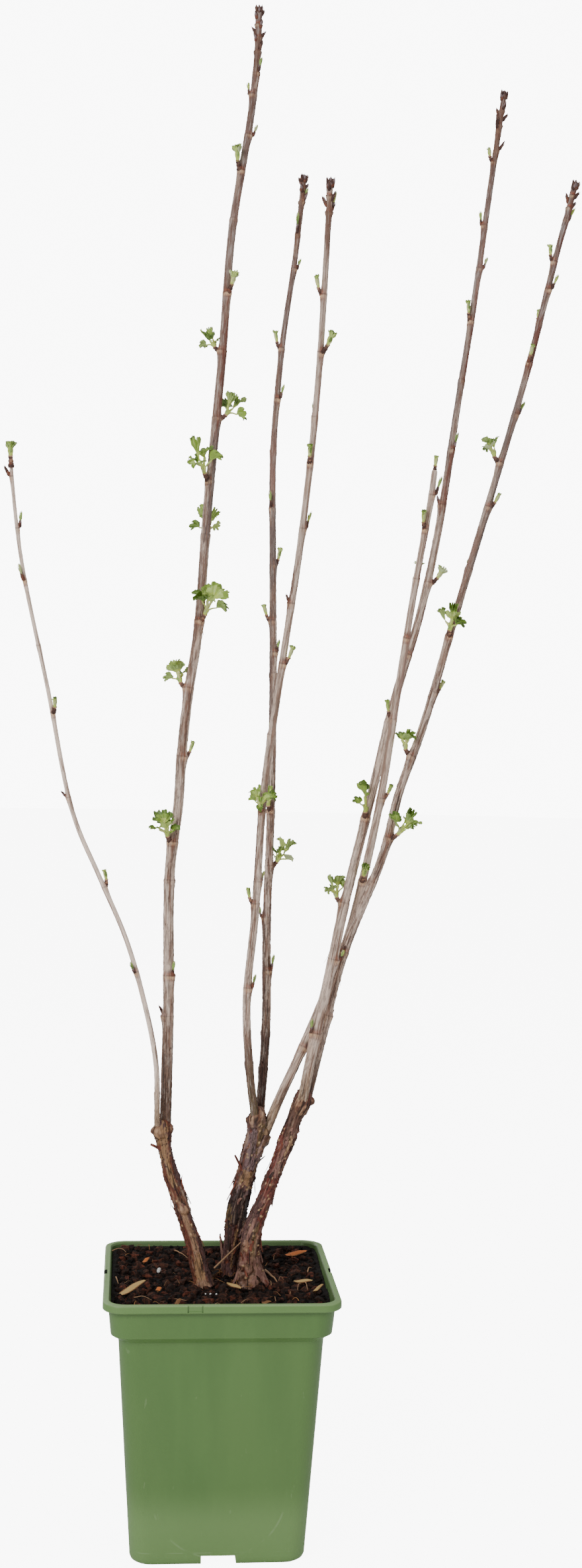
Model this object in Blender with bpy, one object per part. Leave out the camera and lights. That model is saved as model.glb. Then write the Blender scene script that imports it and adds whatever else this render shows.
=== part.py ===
"""A red currant bush in a square pot in early spring, as closed solids in metres, with +Z up.

The origin is at the centre of the pot's underside, and -Y is the front. Three old stems rise from
the soil and carry seven canes, which bear closed buds, opening buds and small tufts of leaves.
Lengths in the tables are in millimetres. A side is an angle round a cane: 0 is the front, 90 the right.
"""

import math
import random

import bmesh
import bpy
from mathutils import Matrix, Vector
from mathutils.kdtree import KDTree

MM = 0.001
GAP = 0.3 * MM
MERGE = 0.01

# Pot
POT_HEIGHT = 218
RIM_HALF = 95
LIP_HEIGHT = 6.5
LIP_WIDTH = 5
COLLAR_TOP_HALF = 90.5
COLLAR_FOOT_HALF = 88.5
COLLAR_FOOT_HEIGHT = 190
BODY_TOP_HALF = 82.3
BODY_TOP_HEIGHT = 184.5
BODY_FOOT_HALF = 70.5
BASE_HALF = 67.5
BASE_ROUNDING = 4.5
WALL = 2
CORNER_RADIUS = 16
CORNER_STEPS = 3
CHANNEL_WIDTH = 27
CHANNEL_HEIGHT = 8
CHANNEL_DEPTH = 24
SLOT_WIDTH = 1.5
SLOT_SPACING = 11.4
FRONT_TAB_OFFSET = -22
SOIL_HEIGHT = 206

# Limbs
CANE_SIDES = 7
CANE_STEP = 4
TRUNK_SIDES = 10
TRUNK_STEP = 6
TRUNK_RING_STEP = 13
CANE_RING_STEP = 36
NODE_SPACING = 9
NODE_FLARE = 1.14
NODE_NECK = 0.97
NODE_NECK_RISE = 3.5
COLLAR_WIDTH = 1.7
COLLAR_DROP = 4
SOCKET_DEPTH = 15
SOCKET_FLARE = 1.06
SPUR_SIDES = 7
SPUR_TAPER = 0.8
TURN = 144

# Buds and tufts
BUD_LEAN = 27
BUD_SIDES = 5
BUD_RADIUS = 1.5
BUD_ROOT = 1.5
BUD_SLIMNESS = 0.17
BUD_WAIST = 0.75
BUD_WIDEST = 0.38
CLUSTER_LEAN = 34
CLUSTER_LONGEST = 8.5
CLUSTER_SHORTEST = 6
END_BUD_LENGTH = 9
END_BUD_RADIUS = 2
STEM_RADIUS = 1.35
STEM_REACH = 2.3
STEM_SIDES = 4
LEAF_WIDEST = 0.62
LEAF_MIDDLE = 0.55
LEAF_FOLD = 0.10
LEAF_THICKNESS = 0.07
LEAST_THICKNESS = 0.8
LIMB_CLEARANCE = 0.9
TUFT_CLEARANCE = 1.2

# Each trunk is a route of (x, y, height, radius) from the soil to its head, with knobs of (x, y, height,
# radius) and spurs of (start, end, radius).
TRUNKS = {
    "left": {
        "route": [(-12, -6, 206, 8.2), (-15.5, -5, 220, 6.8), (-20, -3, 240, 6.7), (-28, 0, 261, 6.0),
                  (-34.5, 2, 281, 6.1), (-41.5, 3, 300, 5.8), (-46, 3, 320, 5.6), (-48.5, 2, 337, 6.8),
                  (-49, 2, 343, 5.6)],
        "knobs": [(-29, -3, 270, 4.6), (-55.5, 0, 336, 3.6), (-42, 2, 337, 4.2), (-50, -4.5, 333, 3.8),
                  (-38, 6, 296, 4.4)],
        "spurs": [((-45, 1, 318), (-58, -2, 325), 1.6)],
    },
    "middle": {
        "route": [(10, 22, 206, 6.6), (11, 17, 228, 7.0), (13.5, 11, 249, 8.3), (15, 8, 268, 8.3),
                  (20, 6, 290, 7.5), (24.5, 5, 310, 7.2), (28.5, 4, 330, 7.5), (30.5, 3, 347, 7.2),
                  (31, 3, 354, 5.0)],
        "knobs": [(21, 1, 298, 4.6), (27, -2, 342, 4.4), (24, 5, 344, 4.0), (33, -2, 350, 3.6),
                  (37, 4, 334, 5.6)],
        "spurs": [((24, 4, 306), (38.5, 4, 333), 6.0), ((20, 1, 300), (12, -3, 316), 1.3)],
    },
    "right": {
        "route": [(27, -2, 206, 11.0), (25.8, -4, 226, 8.8), (27, -6, 250, 8.0), (33.5, -7, 270, 7.0),
                  (40.5, -7, 290, 5.8), (47.5, -6, 310, 5.6), (55, -6, 330, 6.4), (62, -5, 349, 5.8),
                  (67.5, -4, 362, 7.2), (69.5, -4, 369, 5.6)],
        "knobs": [(42, -10, 293, 4.2), (60, -5, 339, 4.8), (74.5, -5, 362, 4.0), (64, -9, 358, 4.4),
                  (37, -3, 281, 4.4)],
        "spurs": [((31, -6, 222), (41, -9, 207), 3.0)],
    },
}

# Each cane is a route of (x, y, height), its radius at foot and tip, the side of its top bud, the turn
# from bud to bud going down, its cluster of (buds, length) at the tip, and buds of (height, kind, length),
# with a side of its own where a bud has bent round out of the spiral.
CANES = {
    "tall_left": {
        "trunk": "left",
        "route": [(-46, 5, 338), (-45, 7, 440), (-45.5, 11, 550), (-39.5, 15, 605), (-37, 18, 650),
                  (-32.5, 22, 697), (-25, 27, 750), (-18.5, 37, 850), (-7, 55, 990), (0, 69, 1095),
                  (15.5, 82, 1200), (20.5, 90, 1255), (21, 94, 1290)],
        "radius": (4.8, 3.0), "first_side": 30, "turn": -TURN, "cluster": (9, 36),
        "buds": [(1235, "tip", 11), (1216, "tip", 10), (1180, "tip", 10), (1148, "fan", 21),
                 (1106, "bud", 6), (1041, "fan", 18), (991, "leafy", 24), (933, "leafy", 28),
                 (879, "leafy", 34), (833, "leafy", 30), (761, "leafy", 34), (704, "leafy", 28),
                 (647, "fan", 15), (576, "leafy", 26), (544, "bud", 5), (465, "tip", 11),
                 (431, "bud", 8)],
    },
    "thin_left": {
        "trunk": "left",
        "route": [(-53, -3, 338), (-55, -8, 395), (-66.5, -16, 450), (-81.5, -27, 500),
                  (-103, -39, 550), (-124, -50, 600), (-145, -69, 700), (-166, -87, 800),
                  (-173, -95, 858), (-174, -97, 872)],
        "radius": (2.8, 1.7), "first_side": 260, "turn": -TURN, "cluster": (0, 0), "end_tuft": 22,
        "buds": [(862, "bud", 8), (823, "tip", 11), (784, "tip", 12), (734, "bud", 5),
                 (682, "fan", 13), (615, "bud", 5), (542, "fan", 14), (472, "tip", 9),
                 (369, "scar", 0)],
    },
    "middle_back": {
        "trunk": "middle",
        "route": [(33, 10, 348), (37, 12.5, 420), (36.5, 17, 510), (39, 27, 600), (40, 42, 710),
                  (39, 58, 815), (39, 74, 910), (46.5, 90, 1005), (57.5, 104, 1085),
                  (64.5, 115, 1153)],
        "radius": (3.9, 2.3), "first_side": 48, "turn": TURN, "cluster": (5, 20),
        "buds": [(1136, "tip", 8), (1123, "tip", 9), (1104, "tip", 16), (1073, "tip", 10),
                 (1001, "fan", 17), (956, "tip", 11), (911, "bud", 5), (860, "tip", 12),
                 (811, "fan", 17), (763, "fan", 16), (736, "tip", 9), (718, "scar", 0),
                 (603, "leafy", 27), (556, "leafy", 26), (513, "tip", 7), (469, "tip", 12),
                 (417, "scar", 0), (387, "bud", 5)],
    },
    "middle_front": {
        "trunk": "middle",
        "route": [(28, -3, 348), (23, -8, 385), (19, -12, 445), (24.5, -15.5, 520), (29.5, -21, 620),
                  (41, -35, 720), (53, -55, 820), (61.5, -74, 925), (65, -92, 1020),
                  (66.5, -104, 1090)],
        "radius": (3.5, 2.3), "first_side": 126, "turn": TURN, "cluster": (5, 20),
        "buds": [(1072, "tip", 13), (1010, "fan", 15), (967, "fan", 18), (918, "tip", 10),
                 (883, "fan", 15), (832, "tip", 12), (773, "bud", 6), (725, "fan", 17),
                 (667, "tip", 8), (605, "leafy", 20), (546, "tip", 7), (528, "fan", 14),
                 (458, "tip", 11), (395, "bud", 5)],
    },
    "tall_right": {
        "trunk": "right",
        "route": [(66.5, -9, 361), (77, -10, 420), (88, -8, 470), (98.5, -1, 520), (123.5, 16, 620),
                  (142, 30, 695), (164, 39, 770), (180, 47, 845), (195, 58, 945), (211, 72, 1045),
                  (222, 81, 1125), (236.5, 92, 1226)],
        "radius": (4.5, 2.3), "first_side": 312, "turn": -TURN, "cluster": (6, 26),
        "buds": [(1196, "bud", 8), (1172, "tip", 12), (1164, "fan", 14), (1111, "tip", 12),
                 (1073, "tip", 10), (1026, "fan", 17), (974, "bud", 5), (913, "tip", 13),
                 (865, "bud", 8), (798, "leafy", 18), (736, "tip", 8), (680, "fan", 14),
                 (598, "leafy", 32, 340), (527, "leafy", 26), (481, "tip", 8), (420, "tip", 10)],
    },
    "short_right": {
        "trunk": "middle",
        "route": [(36.5, 4, 331), (47, 9, 356), (63, 15, 390), (84.5, 21, 440), (103.5, 20, 490),
                  (115, 11, 540), (128, -3, 615), (138, -23, 705), (147.5, -44, 790), (156, -60, 855),
                  (158, -66, 880)],
        "radius": (4.1, 2.4), "first_side": 100, "turn": -TURN, "cluster": (3, 11),
        "buds": [(860, "tip", 13), (835, "fan", 15), (795, "leafy", 16), (748, "scar", 0),
                 (682, "fan", 15), (616, "fan", 13), (546, "fan", 17, 350), (475, "scar", 0),
                 (404, "tip", 8)],
    },
    "far_right": {
        "trunk": "right",
        "route": [(71, 2, 361), (84.5, 2, 420), (95.5, 2, 468), (103.5, 0, 495), (112.5, -8, 522),
                  (129.5, -17, 570), (141.5, -16.5, 620), (160, -14, 673), (187.5, -7, 770),
                  (216, -2, 870), (244, 3, 970), (268, 8, 1070), (283, 11, 1128)],
        "radius": (4.2, 2.4), "first_side": 126, "turn": TURN, "cluster": (5, 18),
        "buds": [(1101, "tip", 11), (1065, "fan", 14), (1042, "tip", 12), (1014, "fan", 13),
                 (980, "fan", 15), (937, "tip", 12), (896, "leafy", 24), (859, "fan", 14),
                 (807, "tip", 8), (751, "leafy", 27), (704, "fan", 14), (651, "leafy", 27),
                 (584, "leafy", 36), (547, "bud", 5), (487, "bud", 5), (433, "bud", 5)],
    },
}

# What each kind of tuft grows: how far it leans from the cane, its stem's share of its length, and rings
# of leaves as (count, lean from the stem, share of the tuft's length, width over length).
TUFTS = {
    "fan": {"lean": 30, "stem": 0.52, "rings": [(4, 20, 0.50, 0.55)]},
    "leafy": {"lean": 38, "stem": 0.42, "rings": [(3, 62, 0.55, 0.62), (3, 24, 0.58, 0.50)]},
}

COLOURS = {
    "pot": ((0.165, 0.275, 0.098), 0.42),
    "soil": ((0.045, 0.024, 0.014), 0.95),
    "trunk": ((0.105, 0.060, 0.045), 0.80),
    "cane": ((0.370, 0.290, 0.245), 0.72),
    "leaf": ((0.150, 0.260, 0.050), 0.55),
}


def clear_scene():
    for obj in list(bpy.data.objects):
        bpy.data.objects.remove(obj, do_unlink=True)


def make_material(kind):
    colour, roughness = COLOURS[kind]
    material = bpy.data.materials.get(kind) or bpy.data.materials.new(kind)
    material.use_nodes = True
    shader = material.node_tree.nodes["Principled BSDF"]
    shader.inputs["Base Color"].default_value = (*colour, 1)
    shader.inputs["Roughness"].default_value = roughness
    shader.inputs["Metallic"].default_value = 0
    return material


def add_object(name, bm, kind=None):
    """An object of this mesh with its faces outwards, in the scene's own collection."""
    bm.normal_update()
    bmesh.ops.recalc_face_normals(bm, faces=bm.faces)
    mesh = bpy.data.meshes.new(name)
    bm.to_mesh(mesh)
    bm.free()
    obj = bpy.data.objects.new(name, mesh)
    bpy.context.scene.collection.objects.link(obj)
    if kind:
        mesh.materials.append(make_material(kind))
        mesh.shade_smooth()
        mesh.set_sharp_from_angle(angle=math.radians(40))
    return obj


def helper(obj):
    obj.hide_render = True
    obj.display_type = "WIRE"
    return obj


def cut(obj, tool):
    modifier = obj.modifiers.new(f"less {tool.name}", "BOOLEAN")
    modifier.operation = "DIFFERENCE"
    modifier.object = tool


def union_of(base, pieces, solver):
    """The mesh of one Boolean union of a base and a collection of pieces sunk into it."""
    union = base.modifiers.new("union", "BOOLEAN")
    union.operation = "UNION"
    union.operand_type = "COLLECTION"
    union.collection = pieces
    union.solver = solver
    graph = bpy.context.evaluated_depsgraph_get()
    joined = bmesh.new()
    mesh = bpy.data.meshes.new_from_object(base.evaluated_get(graph))
    joined.from_mesh(mesh)
    bpy.data.meshes.remove(mesh)
    base.modifiers.remove(union)
    bmesh.ops.triangulate(joined, faces=joined.faces)
    bmesh.ops.dissolve_degenerate(joined, edges=joined.edges, dist=MERGE * MM)
    bmesh.ops.triangulate(joined, faces=joined.faces)
    return joined


def is_closed(bm):
    return bool(bm.faces) and all(edge.is_manifold for edge in bm.edges)


def fuse(name, base, others, kind):
    """One solid from a base and the pieces sunk into it. A piece that no solver can join is left out."""
    pieces = bpy.data.collections.new(f"pieces of {name}")
    for piece in others:
        pieces.objects.link(piece)
    left = list(others)
    joined = union_of(base, pieces, "EXACT")
    if not is_closed(joined):
        joined = union_of(base, pieces, "MANIFOLD")
    while not is_closed(joined) and left:
        pieces.objects.unlink(left.pop())
        joined = union_of(base, pieces, "MANIFOLD")
    for piece in [base, *others]:
        bpy.data.objects.remove(piece, do_unlink=True)
    bpy.data.collections.remove(pieces)
    return add_object(name, joined, kind)


def loft(bm, rings, cap_ends=True):
    """Faces between rings of points that run the same way round, with flat caps. It gives their vertices."""
    layers = [[bm.verts.new(point) for point in ring] for ring in rings]
    count = len(layers[0])
    for low, high in zip(layers, layers[1:]):
        for i in range(count):
            j = (i + 1) % count
            bm.faces.new((low[i], low[j], high[j], high[i]))
    if cap_ends:
        bm.faces.new(layers[0][::-1])
        bm.faces.new(layers[-1])
    return layers


def smooth_route(points, step):
    """Points of a smooth curve through the given ones, about a step apart. A radius in them rides along."""
    knots = [0.0]
    for a, b in zip(points, points[1:]):
        knots.append(knots[-1] + math.sqrt(math.dist(a[:3], b[:3])))
    last = len(points) - 1
    slopes = []
    for i in range(len(points)):
        before, after = max(i - 1, 0), min(i + 1, last)
        if before == i or after == i:
            span = knots[after] - knots[before]
            slopes.append([(q - p) / span for p, q in zip(points[before], points[after])])
            continue
        d0, d1 = knots[i] - knots[before], knots[after] - knots[i]
        slopes.append([((q - p) / d0 * d1 + (r - q) / d1 * d0) / (d0 + d1)
                       for p, q, r in zip(points[before], points[i], points[after])])
    route = []
    for i in range(last):
        span = knots[i + 1] - knots[i]
        count = max(1, round(math.dist(points[i][:3], points[i + 1][:3]) / step))
        for k in range(count):
            s = k / count
            h00, h10 = 2 * s**3 - 3 * s**2 + 1, s**3 - 2 * s**2 + s
            h01, h11 = 3 * s**2 - 2 * s**3, s**3 - s**2
            route.append([h00 * p + h10 * span * u + h01 * q + h11 * span * v
                          for p, u, q, v in zip(points[i], slopes[i], points[i + 1], slopes[i + 1])])
    route.append(list(points[-1]))
    return route


def frame_at(tangent):
    """Unit vectors towards the front and the right of a limb that runs along this tangent."""
    front = Vector((0, -1, 0))
    front = (front - front.dot(tangent) * tangent).normalized()
    return front, tangent.cross(front)


def ring_round(centre, tangent, radius, sides):
    front, right = frame_at(tangent)
    angles = [2 * math.pi * i / sides for i in range(sides)]
    return [centre + radius * (math.cos(a) * front + math.sin(a) * right) for a in angles]


class Limb:
    """The course of a trunk or a cane: its axis, radius and tangent at any height."""

    def __init__(self, points):
        self.axis = [Vector(point[:3]) * MM for point in points]
        self.radii = [point[3] * MM for point in points]

    def at(self, height):
        """(centre, tangent, radius) where the limb reaches this height."""
        for i in range(len(self.axis) - 1):
            low, high = self.axis[i], self.axis[i + 1]
            if height <= high.z or i == len(self.axis) - 2:
                share = (height - low.z) / (high.z - low.z)
                radius = self.radii[i] + share * (self.radii[i + 1] - self.radii[i])
                return low.lerp(high, share), (high - low).normalized(), radius

    def side(self, height, angle):
        """(centre, tangent, radius, outward) at a height, with outward the unit vector to that side."""
        centre, tangent, radius = self.at(height)
        front, right = frame_at(tangent)
        turn = math.radians(angle)
        return centre, tangent, radius, math.cos(turn) * front + math.sin(turn) * right


def trunk_course(spec):
    return Limb(smooth_route(spec["route"], TRUNK_STEP))


def cane_course(spec):
    points = smooth_route(spec["route"], CANE_STEP)
    foot, tip = spec["radius"]
    low, high = points[0][2], points[-1][2]
    return Limb([(x, y, z, foot + (tip - foot) * (z - low) / (high - low)) for x, y, z in points])


def bud_places(spec):
    """(height, side, kind, length) of each bud, going down the cane round its spiral."""
    places = []
    for i, (height, kind, length, *own_side) in enumerate(spec["buds"]):
        side = own_side[0] if own_side else spec["first_side"] + i * spec["turn"]
        places.append((height * MM, side, kind, length * MM))
    return places


def cane_rings(course, spec, sides):
    """Rings up a cane: an even run of them, with a flare and a neck at each bud."""
    low, high = course.axis[0].z, course.axis[-1].z
    marks = {}
    for height, _, kind, _ in bud_places(spec):
        marks[height] = NODE_FLARE
        marks[height + NODE_NECK_RISE * MM] = NODE_NECK
    count = round((high - low) / (CANE_RING_STEP * MM))
    for i in range(count + 1):
        height = low + (high - low) * i / count
        if all(abs(height - other) > NODE_SPACING * MM for other in marks) or i in (0, count):
            marks[height] = 1.0
    rings = []
    for height in sorted(marks):
        centre, tangent, radius = course.at(height)
        rings.append(ring_round(centre, tangent, radius * marks[height], sides))
    return rings


def spindle(start, direction, length, radius, sides=BUD_SIDES):
    """A pointed bud, widest below its middle, with its foot sunk in what bears it."""
    bm = bmesh.new()
    rings = [ring_round(start, direction, BUD_WAIST * radius, sides),
             ring_round(start + BUD_WIDEST * length * direction, direction, radius, sides)]
    foot, widest = loft(bm, rings, cap_ends=False)
    bm.faces.new(foot)
    tip = bm.verts.new(start + length * direction)
    for i in range(sides):
        bm.faces.new((widest[i], widest[(i + 1) % sides], tip))
    return add_object("bud", bm)


def towards(along, outward, lean):
    turn = math.radians(lean)
    return math.cos(turn) * along + math.sin(turn) * outward


def small_buds(course, spec):
    """(start, direction, length, radius) of each closed or green-tipped bud, and of those at the tip."""
    buds = []
    for height, side, kind, length in bud_places(spec):
        if kind not in ("bud", "tip"):
            continue
        centre, tangent, radius, outward = course.side(height, side)
        start = centre + 0.6 * radius * outward
        bud_radius = min(BUD_RADIUS * MM, BUD_SLIMNESS * length + 0.4 * MM)
        buds.append((start, towards(tangent, outward, BUD_LEAN), length + BUD_ROOT * MM, bud_radius))
    count, reach = spec["cluster"]
    top = course.axis[-1]
    for i in range(count):
        height = top.z - (count - i) * reach * MM / count
        centre, tangent, radius, outward = course.side(height, spec["first_side"] + i * TURN)
        length = (CLUSTER_LONGEST - (CLUSTER_LONGEST - CLUSTER_SHORTEST) * i / count) * MM
        direction = towards(tangent, outward, CLUSTER_LEAN)
        buds.append((centre + 0.5 * radius * outward, direction, length, BUD_RADIUS * MM))
    if count:
        tangent = (top - course.axis[-3]).normalized()
        start = top - END_BUD_RADIUS * MM * tangent
        buds.append((start, tangent, END_BUD_LENGTH * MM, END_BUD_RADIUS * MM))
    return buds


def knob(centre, radius):
    bm = bmesh.new()
    bmesh.ops.create_icosphere(bm, subdivisions=1, radius=radius)
    bmesh.ops.translate(bm, verts=bm.verts, vec=centre)
    return add_object("knob", bm)


def tapered_spur(start, end, radius):
    bm = bmesh.new()
    along = (end - start).normalized()
    thin = SPUR_TAPER * radius
    loft(bm, [ring_round(start, along, radius, SPUR_SIDES), ring_round(end, along, thin, SPUR_SIDES)])
    return add_object("spur", bm)


def build_cane(name, spec, course):
    bm = bmesh.new()
    loft(bm, cane_rings(course, spec, CANE_SIDES))
    stem = add_object(name, bm)
    return fuse(f"cane_{name}", stem, [spindle(*bud) for bud in small_buds(course, spec)], "cane")


def build_trunk(name, spec, course, canes):
    """A trunk from its flat cut at the soil to its head, with a collar and a socket for each cane's foot."""
    bm = bmesh.new()
    rings = []
    for x, y, z, radius in smooth_route(spec["route"], TRUNK_RING_STEP):
        centre = Vector((x, y, z)) * MM
        upwards = course.at(centre.z - MM)[1] if rings else Vector((0, 0, 1))
        rings.append(ring_round(centre, upwards, radius * MM, TRUNK_SIDES))
    loft(bm, rings)
    trunk = add_object(name, bm)
    pieces = [knob(Vector(place) * MM, radius * MM) for *place, radius in spec["knobs"]]
    pieces += [tapered_spur(Vector(a) * MM, Vector(b) * MM, radius * MM) for a, b, radius in spec["spurs"]]
    for cane in canes.values():
        foot, tangent, radius = cane.axis[0], cane.at(cane.axis[0].z)[1], cane.radii[0]
        pieces.append(knob(foot - COLLAR_DROP * MM * tangent, radius + COLLAR_WIDTH * MM))
    trunk = fuse(f"trunk_{name}", trunk, pieces, "trunk")
    for key, cane in canes.items():
        cut(trunk, socket(key, cane))
    x, y, soil_line = spec["route"][0][:3]
    cut(trunk, box(f"below_{name}", (60, 60, 60), (x, y, soil_line + GAP / MM - 30)))


def socket(name, course):
    """The space that a cane's foot takes in its trunk's head, a gap wider than the foot all round."""
    bm = bmesh.new()
    rings = []
    foot = course.axis[0].z
    for rise in (0, SOCKET_DEPTH / 2, SOCKET_DEPTH):
        centre, tangent, radius = course.at(foot + rise * MM)
        if not rings:
            centre = centre - GAP * tangent
        rings.append(ring_round(centre, tangent, (radius + GAP) * SOCKET_FLARE, CANE_SIDES))
    loft(bm, rings)
    return helper(add_object(f"socket_{name}", bm))


def tuft_stem(start, outward, direction, length, radius):
    """A tuft's stem as points with a radius: straight off the cane, then up along its direction."""
    bend = start + STEM_REACH * MM * outward
    return [(start, radius), (bend, radius), (bend + 0.5 * length * direction, 1.15 * radius),
            (bend + length * direction, 0.55 * radius)]


def tuft_plans(courses):
    """One plan for each tuft: its name, stem and the centre of the space it keeps to."""
    plans = []
    for key, spec in CANES.items():
        course = courses[key]
        count = 0
        for height, side, kind, length in bud_places(spec):
            if kind not in TUFTS:
                continue
            count += 1
            centre, tangent, radius, outward = course.side(height, side)
            start = centre + (NODE_FLARE * radius + GAP) * outward
            direction = towards(tangent, outward, TUFTS[kind]["lean"])
            plans.append({"name": f"tuft_{key}_{count:02d}", "kind": kind, "length": length,
                          "start": start, "outward": outward, "direction": direction})
        if "end_tuft" in spec:
            tangent = (course.axis[-1] - course.axis[-3]).normalized()
            start = course.axis[-1] + GAP * tangent
            plans.append({"name": f"tuft_{key}_end", "kind": "leafy", "length": spec["end_tuft"] * MM,
                          "start": start, "outward": tangent, "direction": tangent})
    for number, plan in enumerate(plans):
        plan["seed"] = number
        plan["middle"] = plan["start"] + 0.6 * plan["length"] * plan["direction"]
    return plans


def leaf_places(plan):
    """(root, direction, across, length, width) of each leaf of a tuft, by a seeded rule."""
    rule = TUFTS[plan["kind"]]
    rng = random.Random(plan["seed"])
    direction = plan["direction"]
    stem_length = rule["stem"] * plan["length"]
    top = plan["start"] + STEM_REACH * MM * plan["outward"] + stem_length * direction
    across = direction.orthogonal().normalized()
    other = direction.cross(across)
    leaves = []
    first = rng.uniform(0, 360)
    for number, (count, lean, share, aspect) in enumerate(rule["rings"]):
        for i in range(count):
            turn = math.radians(first + 360 * (i + 0.5 * number) / count + rng.uniform(-18, 18))
            outward = math.cos(turn) * across + math.sin(turn) * other
            out = towards(direction, outward, lean + rng.uniform(-12, 12))
            length = share * plan["length"] * rng.uniform(0.82, 1.12)
            root = top - (1.2 + 0.8 * number) * MM * direction
            width = length * aspect * rng.uniform(0.85, 1.15)
            leaves.append((root, out, out.cross(outward).normalized(), length, width))
    return leaves


def leaf_points(leaf):
    """Corners of a leaf: root, left, right, tip and the middle of its upper and lower faces."""
    root, out, across, length, width = leaf
    face = across.cross(out)
    thick = max(LEAF_THICKNESS * length, LEAST_THICKNESS * MM)
    wide = root + LEAF_WIDEST * length * out + LEAF_FOLD * length * face
    middle = root + LEAF_MIDDLE * length * out
    return [root, wide - 0.5 * width * across, wide + 0.5 * width * across, root + length * out,
            middle + 0.5 * thick * face, middle - 0.5 * thick * face]


def leaf_solid(points):
    root, left, right, tip, upper, lower = range(6)
    bm = bmesh.new()
    verts = [bm.verts.new(point) for point in points]
    for middle in (upper, lower):
        for a, b in ((root, left), (left, tip), (tip, right), (right, root)):
            bm.faces.new((verts[a], verts[b], verts[middle]))
    return add_object("leaf", bm)


def limb_tree(courses):
    """A tree of points inside all limbs and their buds, and the radius that each stands for."""
    points = []
    for key, course in courses.items():
        points += list(zip(course.axis, course.radii))
        for start, direction, length, radius in small_buds(course, CANES[key]) if key in CANES else ():
            points += [(start + share * length * direction, radius) for share in (0.2, 0.5, 0.8, 1)]
    tree = KDTree(len(points))
    for i, (point, _) in enumerate(points):
        tree.insert(point, i)
    tree.balance()
    return tree, [radius for _, radius in points]


def keeps_clear(points, plan, plans, tree, radii):
    """Whether a leaf stays in its tuft's own space and off every limb."""
    reach = max(radii) + LIMB_CLEARANCE * MM
    for point in points:
        for _, index, distance in tree.find_range(point, reach):
            if distance < radii[index] * NODE_FLARE + LIMB_CLEARANCE * MM:
                return False
        own = (point - plan["middle"]).length
        for other in plans:
            if other is not plan and (point - other["middle"]).length < own + TUFT_CLEARANCE * MM:
                return False
    return True


def build_tuft(plan, plans, tree, radii):
    stem_length = TUFTS[plan["kind"]]["stem"] * plan["length"]
    path = tuft_stem(plan["start"], plan["outward"], plan["direction"], stem_length, STEM_RADIUS * MM)
    rings = []
    for i, (point, radius) in enumerate(path):
        ahead = path[min(i + 1, len(path) - 1)][0] - path[max(i - 1, 0)][0]
        rings.append(ring_round(point, ahead.normalized(), radius, STEM_SIDES))
    bm = bmesh.new()
    loft(bm, rings)
    stem = add_object("stem", bm)
    leaves = []
    for leaf in leaf_places(plan):
        points = leaf_points(leaf)
        tests = points[1:] + [points[0].lerp(points[3], share) for share in (0.45, 0.75)]
        if keeps_clear(tests, plan, plans, tree, radii):
            leaves.append(leaf_solid(points))
    return fuse(plan["name"], stem, leaves, "leaf")


def square_ring(half, corner, height):
    """A square with round corners at this height, all in mm."""
    points = []
    for quarter in range(4):
        middle = math.pi / 4 + quarter * math.pi / 2
        centre_x = math.copysign(half - corner, math.cos(middle))
        centre_y = math.copysign(half - corner, math.sin(middle))
        for step in range(CORNER_STEPS + 1):
            angle = middle - math.pi / 4 + math.pi / 2 * step / CORNER_STEPS
            point = (centre_x + corner * math.cos(angle), centre_y + corner * math.sin(angle), height)
            points.append(Vector(point) * MM)
    return points


def body_half(height):
    """Half the pot's outer width at a height on its tapering body."""
    return BODY_FOOT_HALF + (BODY_TOP_HALF - BODY_FOOT_HALF) * height / BODY_TOP_HEIGHT


def box(name, size, centre, turn=0):
    """A box that cuts, in mm, turned about the pot's own axis by an angle."""
    bm = bmesh.new()
    bmesh.ops.create_cube(bm, size=1)
    bmesh.ops.scale(bm, verts=bm.verts, vec=Vector(size) * MM)
    bmesh.ops.translate(bm, verts=bm.verts, vec=Vector(centre) * MM)
    bmesh.ops.rotate(bm, verts=bm.verts, matrix=Matrix.Rotation(math.radians(turn), 3, "Z"))
    return helper(add_object(name, bm))


def inner_half(height):
    """Half the width inside the pot's walls at a height."""
    profile = [(WALL, body_half(0) - WALL), (BODY_TOP_HEIGHT + WALL, BODY_TOP_HALF - WALL),
               (COLLAR_FOOT_HEIGHT + WALL, COLLAR_FOOT_HALF - WALL), (POT_HEIGHT, RIM_HALF - LIP_WIDTH)]
    for (low, narrow), (high, wide) in zip(profile, profile[1:]):
        if height <= high:
            return narrow + (wide - narrow) * (height - low) / (high - low)
    return profile[-1][1]


def filling(name, inset, top):
    """The space inside the pot up to a height, drawn in from the walls by an inset."""
    heights = [WALL + inset, BODY_TOP_HEIGHT + WALL, COLLAR_FOOT_HEIGHT + WALL, min(top, POT_HEIGHT), top]
    bm = bmesh.new()
    loft(bm, [square_ring(inner_half(height) - inset, CORNER_RADIUS - WALL - inset, height)
              for height in sorted(set(heights))])
    space = add_object(name, bm)
    width = CHANNEL_WIDTH + 2 * (WALL + inset)
    depth = 2 * (CHANNEL_DEPTH + WALL + inset)
    height = 2 * (CHANNEL_HEIGHT + WALL + inset)
    for side in range(4):
        cut(space, box(f"{name}_fold_{side}", (width, depth, height), (0, -BODY_FOOT_HALF, 0), 90 * side))
    return space


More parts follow.
